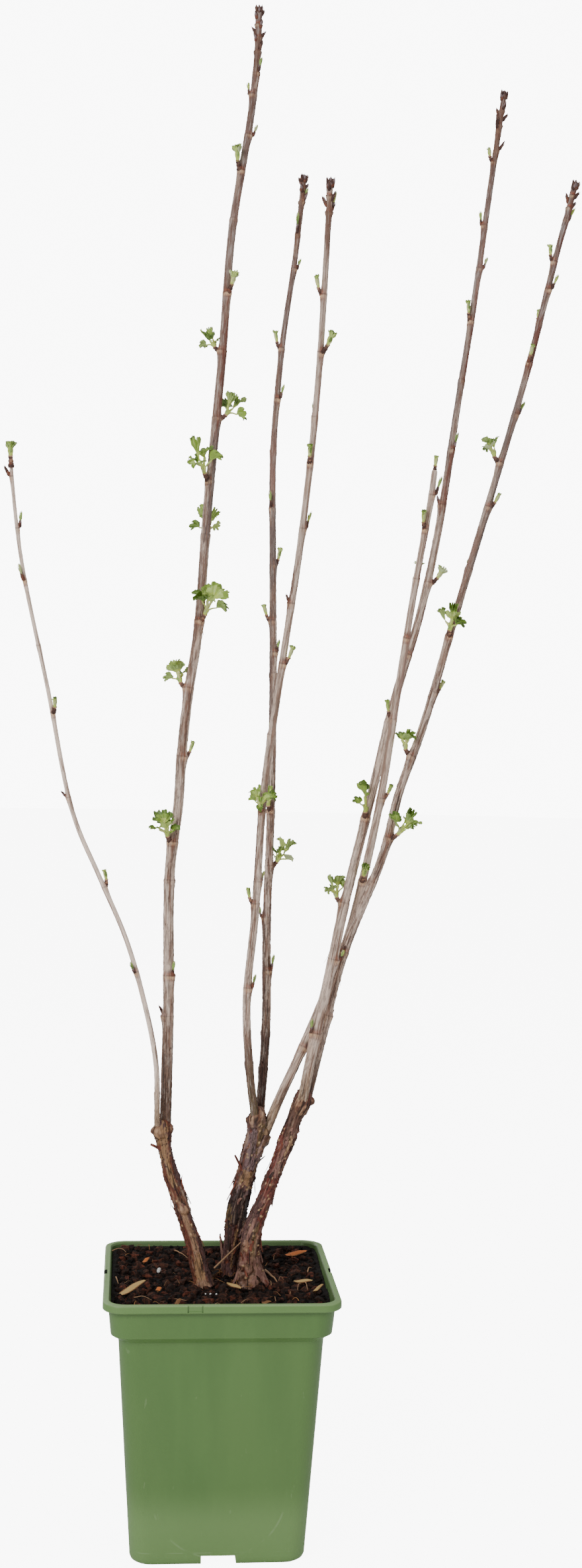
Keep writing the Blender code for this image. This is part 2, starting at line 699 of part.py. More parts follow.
def build_pot():
    lip_foot = POT_HEIGHT - LIP_HEIGHT
    profile = [(BASE_HALF, 0), (body_half(BASE_ROUNDING), BASE_ROUNDING), (BODY_TOP_HALF, BODY_TOP_HEIGHT),
               (COLLAR_FOOT_HALF, COLLAR_FOOT_HEIGHT), (COLLAR_TOP_HALF, lip_foot),
               (RIM_HALF, lip_foot + 0.5), (RIM_HALF, POT_HEIGHT - 1), (RIM_HALF - 1, POT_HEIGHT)]
    bm = bmesh.new()
    loft(bm, [square_ring(half, CORNER_RADIUS, height) for half, height in profile])
    pot = add_object("pot", bm, "pot")
    cut(pot, helper(filling("inside", 0, POT_HEIGHT + 4)))
    for side in range(4):
        channel = (CHANNEL_WIDTH, 2 * CHANNEL_DEPTH, 2 * CHANNEL_HEIGHT)
        cut(pot, box(f"channel_{side}", channel, (0, -BODY_FOOT_HALF, 0), 90 * side))
        offset = FRONT_TAB_OFFSET if side % 2 == 0 else 0
        for edge in (-1, 1):
            slot = (SLOT_WIDTH, 2 * (RIM_HALF - COLLAR_TOP_HALF) + 1, 2 * LIP_HEIGHT + 1)
            place = (offset + edge * SLOT_SPACING / 2, -RIM_HALF, POT_HEIGHT)
            cut(pot, box(f"slot_{side}_{edge}", slot, place, 90 * side))


def build_soil():
    soil = filling("soil", GAP / MM, SOIL_HEIGHT)
    soil.data.materials.append(make_material("soil"))


def main():
    clear_scene()
    build_pot()
    build_soil()
    courses = {name: trunk_course(spec) for name, spec in TRUNKS.items()}
    courses.update({name: cane_course(spec) for name, spec in CANES.items()})
    for name, spec in TRUNKS.items():
        carried = {key: courses[key] for key in CANES if CANES[key]["trunk"] == name}
        build_trunk(name, spec, courses[name], carried)
    for name, spec in CANES.items():
        build_cane(name, spec, courses[name])
    plans = tuft_plans(courses)
    tree, radii = limb_tree(courses)
    for plan in plans:
        build_tuft(plan, plans, tree, radii)


main()
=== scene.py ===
"""The looks of a potted red currant bush in early spring: bark, buds, young leaves, bark compost and a pot.

Limbs, buds and tufts follow the same routes and the same seeded rule as the part's own source, in
millimetres, with -Y as the front. A side is an angle round a limb: 0 is the front, 90 the right.
"""

import math
import random

import bmesh
import bpy
from mathutils import Matrix, Vector, noise
from mathutils.kdtree import KDTree

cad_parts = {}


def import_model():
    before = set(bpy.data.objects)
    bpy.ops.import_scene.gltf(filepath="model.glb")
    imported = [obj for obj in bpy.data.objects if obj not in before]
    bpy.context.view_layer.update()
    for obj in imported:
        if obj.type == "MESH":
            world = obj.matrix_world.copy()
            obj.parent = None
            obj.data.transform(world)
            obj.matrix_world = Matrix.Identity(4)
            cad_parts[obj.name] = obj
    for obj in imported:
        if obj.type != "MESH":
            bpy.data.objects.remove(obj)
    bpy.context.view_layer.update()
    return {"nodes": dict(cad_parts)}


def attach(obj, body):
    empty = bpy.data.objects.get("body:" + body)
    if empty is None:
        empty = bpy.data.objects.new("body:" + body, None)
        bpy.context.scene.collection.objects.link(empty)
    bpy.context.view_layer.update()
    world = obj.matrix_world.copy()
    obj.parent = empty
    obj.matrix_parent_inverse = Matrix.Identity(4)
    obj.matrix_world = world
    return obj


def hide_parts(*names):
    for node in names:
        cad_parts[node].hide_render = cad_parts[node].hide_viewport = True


MM = 0.001
GAP = 0.3 * MM

# Camera, solved from the pot's corners
CAMERA_PLACE = (-0.07853, -1.59047, 0.68254)
CAMERA_YAW = 4.74
CAMERA_PITCH = 2.044
CAMERA_ROLL = 1.046
CAMERA_LENS = 44.2

# Pot
POT_HEIGHT = 218
RIM_HALF = 95
LIP_HEIGHT = 6.5
LIP_WIDTH = 5
COLLAR_TOP_HALF = 90.5
COLLAR_FOOT_HALF = 88.5
COLLAR_FOOT_HEIGHT = 190
BODY_TOP_HALF = 82.3
BODY_TOP_HEIGHT = 184.5
BODY_FOOT_HALF = 70.5
BASE_HALF = 67.5
WALL = 2
CORNER_RADIUS = 16
CORNER_STEPS = 8
SIDE_STEPS = 14
WALL_BULGE = 1.1
CHANNEL_WIDTH = 27
CHANNEL_HEIGHT = 8
CHANNEL_DEPTH = 24
CHANNEL_SLANT = 2.5
SLOT_WIDTH = 1.1
SLOT_DEPTH = 1.1
TAB_RECESS = 0.5
POCKET = (11.4, 5.4, 10)
SLOT_SPACING = 11.4
FRONT_TAB_OFFSET = -22
MOULD_ARC_HEIGHT = 60
MOULD_ARC_RADIUS = 54
MOULD_SEAM_HEIGHT = 10.6

# Soil and what lies on it: chips of (x, y, length, width, turn, slope, tone), straws of (start, end, radius)
SOIL_HEIGHT = 206
SOIL_DEPTH = 10
SOIL_CORNER = 13
CHIPS = [(-72, -39, 23, 6.4, 34, 0.30, 0), (70, 59, 19, 6, 10, 0.10, 1),
         (70, -10, 16, 4.5, -14, 0.05, 0), (12, -26, 15, 4.2, -42, -0.15, 0),
         (80, -38, 12, 2.6, 48, 0.2, 0), (-50, -26, 4.5, 4, 50, 0.2, 1),
         (-60, 44, 8, 3, 50, 0.2, 1), (36, -62, 8, 3, -20, 0.1, 5), (-35, -62, 8, 3, 65, 0.2, 5)]
STRAWS = [((-35, 72), (-24, 57), 0.6), ((41, 24), (49, -6), 1.1), ((68, -12), (64, -29), 0.5),
          ((72, -12), (72, -31), 0.5), ((-89, 64), (-77, 60), 0.5), ((76, 11), (80, 23), 0.6),
          ((-85, -10), (-83, -24), 0.6), ((-70, -50), (-56, -56), 0.4)]
LEANING_STRAW = ((-4, -9, 223), (20, -7, 246))
ROOT_HAIRS = (5, 12, 8)
FIBRES = 40
GRAINS = [(-49, 22, 1.9), (-8, -35, 0.8), (-3, -35, 0.7),
          (-12, -38, 0.6), (19, 37, 0.5), (-92, 11, 0.6)]

# Studio
FLOOR_RADIUS = 12
FLOOR_GLOW = 8.2
BACKDROP_GLOW = 9
WORLD_LIGHT = 0.36

# Limbs
CANE_STEP = 4
TRUNK_STEP = 6
CANE_SIDES = 36
CANE_ROW = 1.3
TRUNK_SIDES = 72
TRUNK_ROW = 0.7
FOOT_BARK = 70
CANE_GRAIN = 4
TRUNK_GRAIN = 8
SMALL_FLAKES = 28
FILLET = 3.0
KNOB_SHARE = 0.86
NODE_FLARE = 1.14
SUNK_ROWS = (10, 9.6, 8.8, 7.6, 6, 4.4, 2.8, 1.4)
COLLAR = ((-6, 0.2), (-2.6, 1.1), (0.6, 0.7))
TURN = 144
GRAIN_SHIFT = 0.37


# Buds and tufts
BUD_LEAN = 27
TIP_LEAN = 11
CLUSTER_LEAN = 30
STEM_RADIUS = 1.35
STEM_REACH = 1.6
LIMB_CLEARANCE = 0.9
TUFT_CLEARANCE = 1.2

# Each trunk is a route of (x, y, height, radius), knobs of (x, y, height, radius) and spurs of (start, end, radius).
# Its bark has the tones of three layers, from under to outer, and how far they cover it. Zones of another tone are
# (height, side, half length, half width, tone), and pores are (count, lowest, highest, side, spread).
TRUNKS = {
    "left": {
        "seed": 0, "skirt": 8,
        "route": [(-12, -6, 206, 8.2), (-15.5, -5, 220, 6.8), (-20, -3, 240, 6.7), (-28, 0, 261, 6.0),
                  (-34.5, 2, 281, 6.1), (-41.5, 3, 300, 5.8), (-46, 3, 320, 5.6), (-48.5, 2, 337, 6.8),
                  (-49, 2, 343, 5.6)],
        "knobs": [(-29, -3, 270, 4.6), (-55.5, 0, 336, 3.6), (-42, 2, 337, 4.2), (-50, -4.5, 333, 3.8),
                  (-38, 6, 296, 4.4)],
        "spurs": [((-45, 1, 318), (-58, -2, 325), 1.6)],
        "tones": ("tan", "rust", "plum"), "cover": -0.02,
        "zones": [(326, -20, 16, 55, "ochre"), (306, 70, 24, 42, "plum"), (301, 0, 12, 24, "ochre"),
                  (292, -70, 16, 26, "rust"), (240, 6, 32, 20, "tan"), (236, -62, 34, 34, "rust"),
                  (238, 70, 34, 36, "plum"), (223, -8, 10, 30, "ochre")],
        "pores": (14, 250, 335, 0, 120),
    },
    "middle": {
        "seed": 20, "skirt": 10,
        "route": [(10, 22, 206, 6.6), (11, 17, 228, 7.0), (13.5, 11, 249, 8.3), (15, 8, 268, 8.3),
                  (20, 6, 290, 7.5), (24.5, 5, 310, 7.2), (28.5, 4, 330, 7.5), (30.5, 3, 347, 7.2),
                  (31, 3, 354, 5.0)],
        "knobs": [(21, 1, 298, 4.6), (27, -2, 342, 4.4), (24, 5, 344, 4.0), (33, -2, 350, 3.6),
                  (37, 4, 334, 5.6)],
        "spurs": [((20, 1, 300), (12, -3, 316), 1.3)],
        "tones": ("rust", "plum", "lilac"), "cover": 0.08,
        "zones": [(328, 50, 16, 34, "olive"), (322, -10, 20, 26, "lilac"), (296, 10, 6, 40, "ochre"),
                  (270, 30, 16, 120, "black"), (262, -60, 10, 30, "olive"), (232, -30, 22, 50, "plum"),
                  (236, 8, 15, 9, "ochre"), (228, 100, 26, 60, "black")],
        "pores": (30, 286, 344, 40, 70),
    },
    "right": {
        "seed": 40, "skirt": 34,
        "route": [(27, -2, 206, 11.0), (25.8, -4, 226, 8.8), (27, -6, 250, 8.0), (33.5, -7, 270, 7.0),
                  (40.5, -7, 290, 5.8), (47.5, -6, 310, 5.6), (55, -6, 330, 6.4), (62, -5, 349, 5.8),
                  (67.5, -4, 362, 7.2), (69.5, -4, 369, 5.6)],
        "knobs": [(42, -10, 293, 4.2), (60, -5, 339, 4.8), (74.5, -5, 362, 4.0), (64, -9, 358, 4.4),
                  (37, -3, 281, 4.4)],
        "spurs": [((31, -6, 222), (41, -9, 207), 3.0)],
        "tones": ("red", "pink", "brown"), "cover": 0.05,
        "zones": [(342, 0, 12, 60, "brown"), (316, 5, 16, 40, "pink"), (318, -75, 20, 30, "red"),
                  (289, 10, 9, 60, "red"), (244, 8, 20, 16, "olive"), (262, -40, 18, 40, "plum"),
                  (218, 20, 12, 60, "tan"), (250, 90, 30, 40, "rust")],
        "pores": (46, 214, 340, 5, 80),
    },
}

# The stump on the middle trunk that carries the short cane at the right, made as a trunk is
FORK = {
    "seed": 60, "skirt": -1,
    "route": [(24, 4, 304, 5.6), (29, 4, 315, 5.4), (34, 4, 326, 4.9), (36.5, 4, 332, 3.9)],
    "knobs": [(33, 0.5, 320, 3.4), (37, 6, 327, 3.2)],
    "tones": ("rust", "brown", "lilac"), "cover": 0.1, "zones": [(318, 90, 10, 60, "plum")],
    "pores": (6, 308, 326, 40, 70),
}

# Loose bark on each limb, as (height, side, length, width, lift, tone): a minus length hangs down from its root.
LOOSE_BARK = {
    "left": [(296, 80, -24, 3.0, 3.0, 0), (288, 285, -14, 1.4, 4.0, 0), (322, 250, 14, 1.6, 3.5, 0),
             (262, 60, -24, 1.4, 1.6, 0), (250, 300, -18, 3.0, 1.8, 0), (305, 20, -16, 2.2, 1.0, 2),
             (282, 70, 12, 2.2, 2.4, 0), (312, 170, -22, 3.0, 2.6, 0), (286, 95, 9, 1.6, 3.2, 0)],
    "middle": [(311, 262, -28, 3.4, 3.2, 0), (306, 95, -22, 2.4, 5.0, 0), (292, 285, -18, 2.8, 2.6, 0),
               (330, 262, -20, 2.4, 2.0, 0), (276, 80, -22, 4.0, 2.0, 3), (262, 330, -26, 4.0, 2.2, 3),
               (320, 40, -18, 2.2, 1.4, 2), (300, 180, -26, 3.6, 3.0, 0), (245, 20, -24, 3.2, 1.2, 3),
               (212, 262, 32, 7.0, 4.0, 1), (302, 98, 14, 2.0, 5.5, 0)],
    "right": [(323, 275, -24, 2.0, 2.4, 0), (232, 265, -24, 6.0, 5.0, 1), (236, 70, -27, 15.0, 5.5, 1),
              (240, 300, -26, 5.0, 2.0, 1), (300, 95, -24, 3.0, 2.4, 0), (276, 330, -28, 3.6, 2.0, 1),
              (262, 70, -26, 3.4, 2.6, 0), (340, 20, -22, 2.4, 1.8, 2), (318, 190, -26, 3.2, 2.8, 0),
              (264, 250, -16, 4.0, 2.2, 1), (246, 95, -20, 5.0, 2.4, 1)],
    "tall_left": [(760, 40, -12, 0.9, 3.0, 2), (585, 95, -16, 0.5, 2.2, 2), (400, 300, -10, 0.6, 1.6, 2)],
    "tall_right": [(490, 280, -14, 0.7, 3.4, 2), (440, 60, -10, 0.7, 1.4, 2)],
    "far_right": [(470, 100, -12, 0.7, 2.0, 2)],
}

# Each cane is a route of (x, y, height), its radius at foot and tip, the side of its top bud, the turn
# from bud to bud going down, its cluster of (buds, length) at the tip, and buds of (height, kind, length).
CANES = {
    "tall_left": {
        "tone": (0.82, 0.02), "foot": ("foot", 110),
        "zones": [(1120, 90, 30, 60, "blush"), (966, 70, 62, 75, "russet"), (870, 60, 40, 70, "slate"),
                  (780, 260, 30, 50, "under"), (1250, 0, 24, 180, "under")],
        "trunk": "left",
        "route": [(-46, 5, 338), (-45, 7, 440), (-45.5, 11, 550), (-39.5, 15, 605), (-37, 18, 650),
                  (-32.5, 22, 697), (-25, 27, 750), (-18.5, 37, 850), (-7, 55, 990), (0, 69, 1095),
                  (15.5, 82, 1200), (20.5, 90, 1255), (21, 94, 1290)],
        "radius": (4.8, 3.0), "first_side": 30, "turn": -TURN, "cluster": (9, 36),
        "buds": [(1235, "tip", 11), (1216, "tip", 10), (1180, "tip", 10), (1148, "fan", 20), (1106, "bud", 6),
                 (1041, "fan", 18), (991, "leafy", 24), (933, "leafy", 28), (879, "leafy", 34),
                 (833, "leafy", 30), (761, "leafy", 34), (704, "leafy", 28), (647, "slim", 15),
                 (576, "leafy", 26), (544, "bud", 5), (465, "tip", 11), (431, "bud", 8)],
    },
    "thin_left": {
        "tone": (1.5, 1.5), "foot": ("straw", 60),
        "zones": [(620, 60, 24, 60, "dull"), (540, 280, 40, 50, "blush"), (400, 90, 40, 60, "foot")],
        "trunk": "left",
        "route": [(-53, -3, 338), (-55, -8, 395), (-66.5, -16, 450), (-81.5, -27, 500), (-103, -39, 550),
                  (-124, -50, 600), (-145, -69, 700), (-166, -87, 800), (-173, -95, 858), (-174, -97, 872)],
        "radius": (2.8, 1.7), "first_side": 260, "turn": -TURN, "cluster": (0, 0), "end_tuft": ("fan", 17), "girth": 0.78,
        "buds": [(862, "bud", 8), (823, "tip", 11), (784, "tip", 12), (734, "bud", 5), (682, "slim", 13),
                 (615, "bud", 5), (542, "slim", 14), (472, "tip", 9), (369, "scar", 0)],
    },
    "middle_back": {
        "tone": (0.42, 0.02), "foot": ("umber", 120),
        "zones": [(895, 0, 30, 180, "blush"), (830, 0, 34, 120, "slate"), (720, 280, 50, 60, "slate"),
                  (560, 80, 60, 40, "under"), (480, 300, 50, 30, "seam"), (395, 0, 30, 180, "foot"),
                  (1120, 0, 30, 180, "under")],
        "trunk": "middle",
        "route": [(33, 10, 348), (37, 12.5, 420), (36.5, 17, 510), (39, 27, 600), (40, 42, 710),
                  (39, 58, 815), (39, 74, 910), (46.5, 90, 1005), (57.5, 104, 1085), (64.5, 115, 1153)],
        "radius": (3.9, 2.3), "first_side": 48, "turn": TURN, "cluster": (5, 20),
        "buds": [(1136, "tip", 8), (1123, "tip", 9), (1104, "tip", 16), (1073, "tip", 10), (1001, "slim", 17),
                 (956, "tip", 11), (911, "bud", 5), (860, "tip", 12), (811, "slim", 17), (763, "slim", 16),
                 (736, "tip", 9), (718, "scar", 0), (603, "leafy", 23), (556, "leafy", 26), (513, "tip", 7),
                 (469, "tip", 12), (417, "scar", 0), (387, "bud", 5)],
    },
    "middle_front": {
        "tone": (0.74, 0.70), "foot": ("moss", 62),
        "zones": [(785, 280, 16, 60, "under"), (930, 70, 40, 50, "blush"), (640, 20, 60, 30, "dull"),
                  (560, 280, 40, 30, "seam"), (395, 0, 24, 180, "foot"), (1060, 0, 20, 180, "under")],
        "trunk": "middle",
        "route": [(28, -3, 348), (23, -8, 385), (19, -12, 445), (24.5, -15.5, 520), (29.5, -21, 620),
                  (41, -35, 720), (53, -55, 820), (61.5, -74, 925), (65, -92, 1020), (66.5, -104, 1090)],
        "radius": (3.5, 2.3), "first_side": 126, "turn": TURN, "cluster": (5, 20),
        "buds": [(1072, "tip", 13), (1010, "slim", 15), (967, "fan", 18), (918, "tip", 10), (883, "slim", 15),
                 (832, "tip", 12), (773, "bud", 6), (725, "slim", 17), (667, "tip", 8), (605, "leafy", 20),
                 (546, "tip", 7), (528, "slim", 14), (458, "tip", 11), (395, "bud", 5)],
    },
    "tall_right": {
        "tone": (0.88, 0.32), "foot": ("straw", 40),
        "zones": [(1075, 60, 44, 70, "blush"), (1010, 80, 30, 60, "russet"), (888, 20, 24, 60, "russet"),
                  (752, 90, 30, 45, "russet"), (950, 280, 50, 50, "slate"), (650, 90, 60, 30, "seam"),
                  (1190, 0, 34, 180, "under")],
        "trunk": "right",
        "route": [(66.5, -9, 361), (77, -10, 420), (88, -8, 470), (98.5, -1, 520), (123.5, 16, 620),
                  (142, 30, 695), (164, 39, 770), (180, 47, 845), (195, 58, 945), (211, 72, 1045),
                  (222, 81, 1125), (236.5, 92, 1226)],
        "radius": (4.5, 2.3), "first_side": 312, "turn": -TURN, "cluster": (6, 26),
        "buds": [(1196, "bud", 8), (1178, "bud", 9, 80), (1168, "slim", 12, 275), (1111, "tip", 12), (1073, "tip", 10),
                 (1026, "slim", 17), (974, "bud", 5), (913, "tip", 13), (865, "bud", 8), (798, "fan", 18),
                 (736, "tip", 8), (680, "slim", 14), (598, "leafy", 28, 340), (527, "leafy", 26),
                 (481, "tip", 8), (420, "tip", 10)],
    },
    "short_right": {
        "tone": (0.90, 0.88), "foot": ("straw", 50),
        "zones": [(815, 90, 24, 50, "russet"), (640, 300, 60, 40, "dull"), (720, 60, 40, 50, "blush"),
                  (420, 90, 60, 50, "foot")],
        "trunk": "middle",
        "route": [(36.5, 4, 331), (47, 9, 356), (63, 15, 390), (84.5, 21, 440), (103.5, 20, 490),
                  (115, 11, 540), (128, -3, 615), (138, -23, 705), (147.5, -44, 790), (156, -60, 855),
                  (158, -66, 880)],
        "radius": (4.1, 2.4), "first_side": 100, "turn": -TURN, "cluster": (0, 0), "end_tuft": ("slim", 13),
        "buds": [(861, "tip", 14), (835, "slim", 15), (795, "fan", 15), (748, "scar", 0), (682, "slim", 15),
                 (616, "slim", 13), (546, "fan", 17, 350), (475, "scar", 0), (404, "tip", 8)],
    },
    "far_right": {
        "tone": (0.46, 0.34), "foot": ("foot", 60),
        "zones": [(990, 60, 24, 120, "russet"), (930, 280, 30, 60, "slate"), (860, 80, 60, 60, "slate"),
                  (700, 90, 60, 30, "seam"), (600, 90, 60, 28, "seam"), (1085, 80, 34, 70, "russet"),
                  (800, 300, 40, 50, "blush")],
        "trunk": "right",
        "route": [(71, 2, 361), (84.5, 2, 420), (95.5, 2, 468), (103.5, 0, 495), (112.5, -8, 522),
                  (129.5, -17, 570), (141.5, -16.5, 620), (160, -14, 673), (187.5, -7, 770), (216, -2, 870),
                  (244, 3, 970), (268, 8, 1070), (283, 11, 1128)],
        "radius": (4.2, 2.4), "first_side": 126, "turn": TURN, "cluster": (5, 18),
        "buds": [(1101, "tip", 11), (1065, "slim", 14), (1042, "tip", 12), (1014, "slim", 13), (980, "slim", 15),
                 (937, "tip", 12), (896, "leafy", 24), (859, "slim", 14), (807, "tip", 8), (751, "leafy", 27),
                 (704, "slim", 14), (651, "leafy", 24), (584, "leafy", 33), (547, "bud", 5), (487, "bud", 5),
                 (433, "bud", 5)],
    },
}

# What each kind of tuft grows. Its collar and the top of its body are shares of its length, radii are in mm, and a
# ring of leaves has their number, lean, length as a share of the tuft's, and width as a share of their length.
TUFTS = {
    "slim": {"lean": 14, "off": 0.6, "collar": 0.30, "stem": 0.66, "sunk": 1.4, "scales": 7, "cover": 0.62,
             "spur": (2.0, 1.75, 1.55, 1.4, 1.3), "body": (1.15, 1.35, 1.55, 1.15), "rings": [(4, 9, 0.37, 0.5)]},
    "fan": {"lean": 20, "off": 1.2, "collar": 0.32, "stem": 0.64, "sunk": 2.4, "scales": 7, "cover": 0.44,
            "spur": (2.4, 2.1, 1.85, 1.7, 1.5), "body": (1.6, 1.8, 2.05, 2.0), "rings": [(5, 15, 0.46, 0.46)]},
    "leafy": {"lean": 27, "off": 1.6, "collar": 0.13, "stem": 0.28, "sunk": 2.2, "scales": 5, "cover": 0.24,
              "spur": (2.7, 2.3, 2.0, 1.8, 1.6), "body": (1.6, 1.95, 2.1, 1.4),
              "rings": [(3, 50, 0.64, 0.52), (2, 18, 0.80, 0.60)]},
}
# Ways a young blade lies: its half spread, fold along the midrib, depth of pleats, droop, most twist and notches
BLADES = {
    "bud": {"spread": 34, "fold": 30, "pleat": 0.80, "droop": 8, "twist": 16, "notch": 0.12},
    "tip": {"spread": 30, "fold": 36, "pleat": 0.80, "droop": 12, "twist": 12, "notch": 0.14},
    "fan": {"spread": 40, "fold": 28, "pleat": 0.74, "droop": 26, "twist": 22, "notch": 0.22},
    "ruff": {"spread": 66, "fold": 20, "pleat": 0.60, "droop": 58, "twist": 24, "notch": 0.18},
    "open": {"spread": 100, "fold": 26, "pleat": 0.46, "droop": 60, "twist": 30, "notch": 0.20},
    "folded": {"spread": 80, "fold": 54, "pleat": 0.50, "droop": 84, "twist": 36, "notch": 0.19},
}
NODE_ROWS = (-5.6, -4.6, -3.8, -3.1, -2.5, -1.9, -1.4, -0.9, -0.5, -0.1, 0.3, 0.7, 1.2, 1.8, 2.5, 3.3, 4.2)


def skin_heights(low, high, row, nodes):
    """Heights of a cane's rows, in metres: evenly spaced, and close together at its nodes."""
    rows = round((high - low) / row)
    heights = [low + (high - low) * i / rows for i in range(rows)]
    for node in nodes:
        first, last = node + NODE_ROWS[0] * MM, node + NODE_ROWS[-1] * MM
        heights = [height for height in heights if not first - 0.5 * row < height < last + 0.5 * row]
        heights += [node + step * MM for step in NODE_ROWS if low < node + step * MM < high - 2 * MM]
    return sorted(heights)
# Places across one lobe of a blade, from notch to notch, with the pull of its teeth. The vein lies in the middle.
LOBE_TEETH = (-0.02, 0.024, -0.012, 0.028, 0.028, -0.012, 0.024)
VEIN_COLUMN = 3
BLADE_RINGS = (0.05, 0.22, 0.40, 0.57, 0.73, 0.88, 1.0)
BLADE_THICKNESS = 0.22
VEIN_HALF = 0.2
PALE_ROWS = 2
PALE_BLADE = 6
DARK_ROWS = {"bud": 4, "tip": 3, "fan": 3, "ruff": 4, "open": 4, "folded": 4}
DEEPER = (1, 2, 2)


def srgb(red, green, blue):
    """A colour given as 0 to 255, as linear values with alpha."""
    shares = [level / 255 for level in (red, green, blue)]
    linear = [s / 12.92 if s <= 0.04045 else ((s + 0.055) / 1.055) ** 2.4 for s in shares]
    return (*linear, 1)
# Tones of the bark, dealt out by place
BARK = {
    "pale": srgb(236, 209, 190), "dull": srgb(160, 126, 107), "foot": srgb(112, 84, 67), "young": srgb(122, 96, 86),
    "under": srgb(118, 80, 63), "russet": srgb(114, 54, 37), "slate": srgb(122, 104, 98), "silver": srgb(204, 192, 188), "blush": srgb(158, 119, 105),
    "node": srgb(172, 84, 48), "scar line": srgb(244, 206, 160), "peeled": srgb(222, 184, 158),
    "seam": srgb(86, 56, 44), "ochre": srgb(172, 132, 92), "tan": srgb(168, 130, 100), "rust": srgb(124, 66, 46),
    "plum": srgb(98, 68, 66), "lilac": srgb(130, 106, 106), "pink": srgb(148, 106, 96), "red": srgb(120, 52, 42),
    "brown": srgb(104, 74, 61), "black": srgb(34, 22, 20), "crack": srgb(40, 24, 20), "olive": srgb(120, 96, 62),
    "pore": srgb(216, 180, 132), "callus": srgb(170, 128, 98), "rind": srgb(222, 180, 142), "umber": srgb(78, 51, 40),
    "straw": srgb(194, 162, 132), "moss": srgb(112, 92, 64),
}


def tint(below, above, share):
    return tuple(low + (high - low) * share for low, high in zip(below, above))


def climb(value, start, end):
    """0 at the start and 1 at the end, even between."""
    return min(max((value - start) / (end - start), 0), 1)


def new_material(name, roughness):
    material = bpy.data.materials.new(name)
    material.use_nodes = True
    shader = material.node_tree.nodes["Principled BSDF"]
    shader.inputs["Roughness"].default_value = roughness
    return material, material.node_tree, shader


def put(tree, socket, value):
    if isinstance(value, bpy.types.NodeSocket):
        tree.links.new(value, socket)
    else:
        socket.default_value = value


def mix(tree, share, below, above):
    """A colour mixed from two by a share."""
    node = tree.nodes.new("ShaderNodeMix")
    node.data_type = "RGBA"
    for socket, value in zip((node.inputs[0], node.inputs[6], node.inputs[7]), (share, below, above)):
        put(tree, socket, value)
    return node.outputs[2]


def maths(tree, operation, first, second):
    node = tree.nodes.new("ShaderNodeMath")
    node.operation = operation
    put(tree, node.inputs[0], first)
    put(tree, node.inputs[1], second)
    return node.outputs[0]


def new_group(name, inputs, outputs):
    group = bpy.data.node_groups.new(name, "ShaderNodeTree")
    for socket, value in inputs.items():
        group.interface.new_socket(socket, in_out="INPUT", socket_type="NodeSocketFloat").default_value = value
    for socket in outputs:
        group.interface.new_socket(socket, in_out="OUTPUT", socket_type="NodeSocketFloat")
    return group, group.nodes.new("NodeGroupInput"), group.nodes.new("NodeGroupOutput")


def grain_streaks():
    """Marks that run along a limb, read from its own grain coordinates."""
    group, given, result = new_group("grain streaks", {"Around": 400, "Along": 15, "From": 0.5, "To": 0.65}, ["Mask"])
    grain = group.nodes.new("ShaderNodeAttribute")
    grain.attribute_name = "grain"
    stretch = group.nodes.new("ShaderNodeCombineXYZ")
    for axis, socket in zip("XYZ", ("Around", "Around", "Along")):
        group.links.new(given.outputs[socket], stretch.inputs[axis])
    scaled = group.nodes.new("ShaderNodeVectorMath")
    scaled.operation = "MULTIPLY"
    group.links.new(grain.outputs["Vector"], scaled.inputs[0])
    group.links.new(stretch.outputs[0], scaled.inputs[1])
    pattern = group.nodes.new("ShaderNodeTexNoise")
    pattern.inputs["Scale"].default_value = 1
    pattern.inputs["Detail"].default_value = 4
    pattern.inputs["Roughness"].default_value = 0.6
    group.links.new(scaled.outputs[0], pattern.inputs["Vector"])
    ramp = group.nodes.new("ShaderNodeMapRange")
    ramp.interpolation_type = "SMOOTHSTEP"
    group.links.new(pattern.outputs["Fac"], ramp.inputs["Value"])
    group.links.new(given.outputs["From"], ramp.inputs["From Min"])
    group.links.new(given.outputs["To"], ramp.inputs["From Max"])
    group.links.new(ramp.outputs[0], result.inputs["Mask"])
    return group


def mottling():
    """Soft blotches from object coordinates."""
    group, given, result = new_group("mottling", {"Scale": 30, "Stretch": 1, "From": 0.4, "To": 0.6}, ["Mask"])
    place = group.nodes.new("ShaderNodeTexCoord")
    stretch = group.nodes.new("ShaderNodeCombineXYZ")
    for axis, socket in zip("XYZ", ("Scale", "Scale", "Stretch")):
        group.links.new(given.outputs[socket], stretch.inputs[axis])
    scaled = group.nodes.new("ShaderNodeVectorMath")
    scaled.operation = "MULTIPLY"
    group.links.new(place.outputs["Object"], scaled.inputs[0])
    group.links.new(stretch.outputs[0], scaled.inputs[1])
    pattern = group.nodes.new("ShaderNodeTexNoise")
    pattern.inputs["Scale"].default_value = 1
    pattern.inputs["Detail"].default_value = 3
    group.links.new(scaled.outputs[0], pattern.inputs["Vector"])
    ramp = group.nodes.new("ShaderNodeMapRange")
    ramp.interpolation_type = "SMOOTHSTEP"
    group.links.new(pattern.outputs["Fac"], ramp.inputs["Value"])
    group.links.new(given.outputs["From"], ramp.inputs["From Min"])
    group.links.new(given.outputs["To"], ramp.inputs["From Max"])
    group.links.new(ramp.outputs[0], result.inputs["Mask"])
    return group


def use_group(tree, group, **values):
    node = tree.nodes.new("ShaderNodeGroup")
    node.node_tree = group
    for name, value in values.items():
        node.inputs[name].default_value = value
    return node.outputs["Mask"]


def streak(tree, group, around, along, start, end):
    return use_group(tree, group, Around=around, Along=along, From=start, To=end)


def paint_of(tree):
    """The colour that a limb's own points carry, and its alpha, which tells how cracked the bark is."""
    node = tree.nodes.new("ShaderNodeAttribute")
    node.attribute_name = "paint"
    return node.outputs["Color"], node.outputs["Alpha"]


def part(tree, mask, share):
    return maths(tree, "MULTIPLY", mask, share)


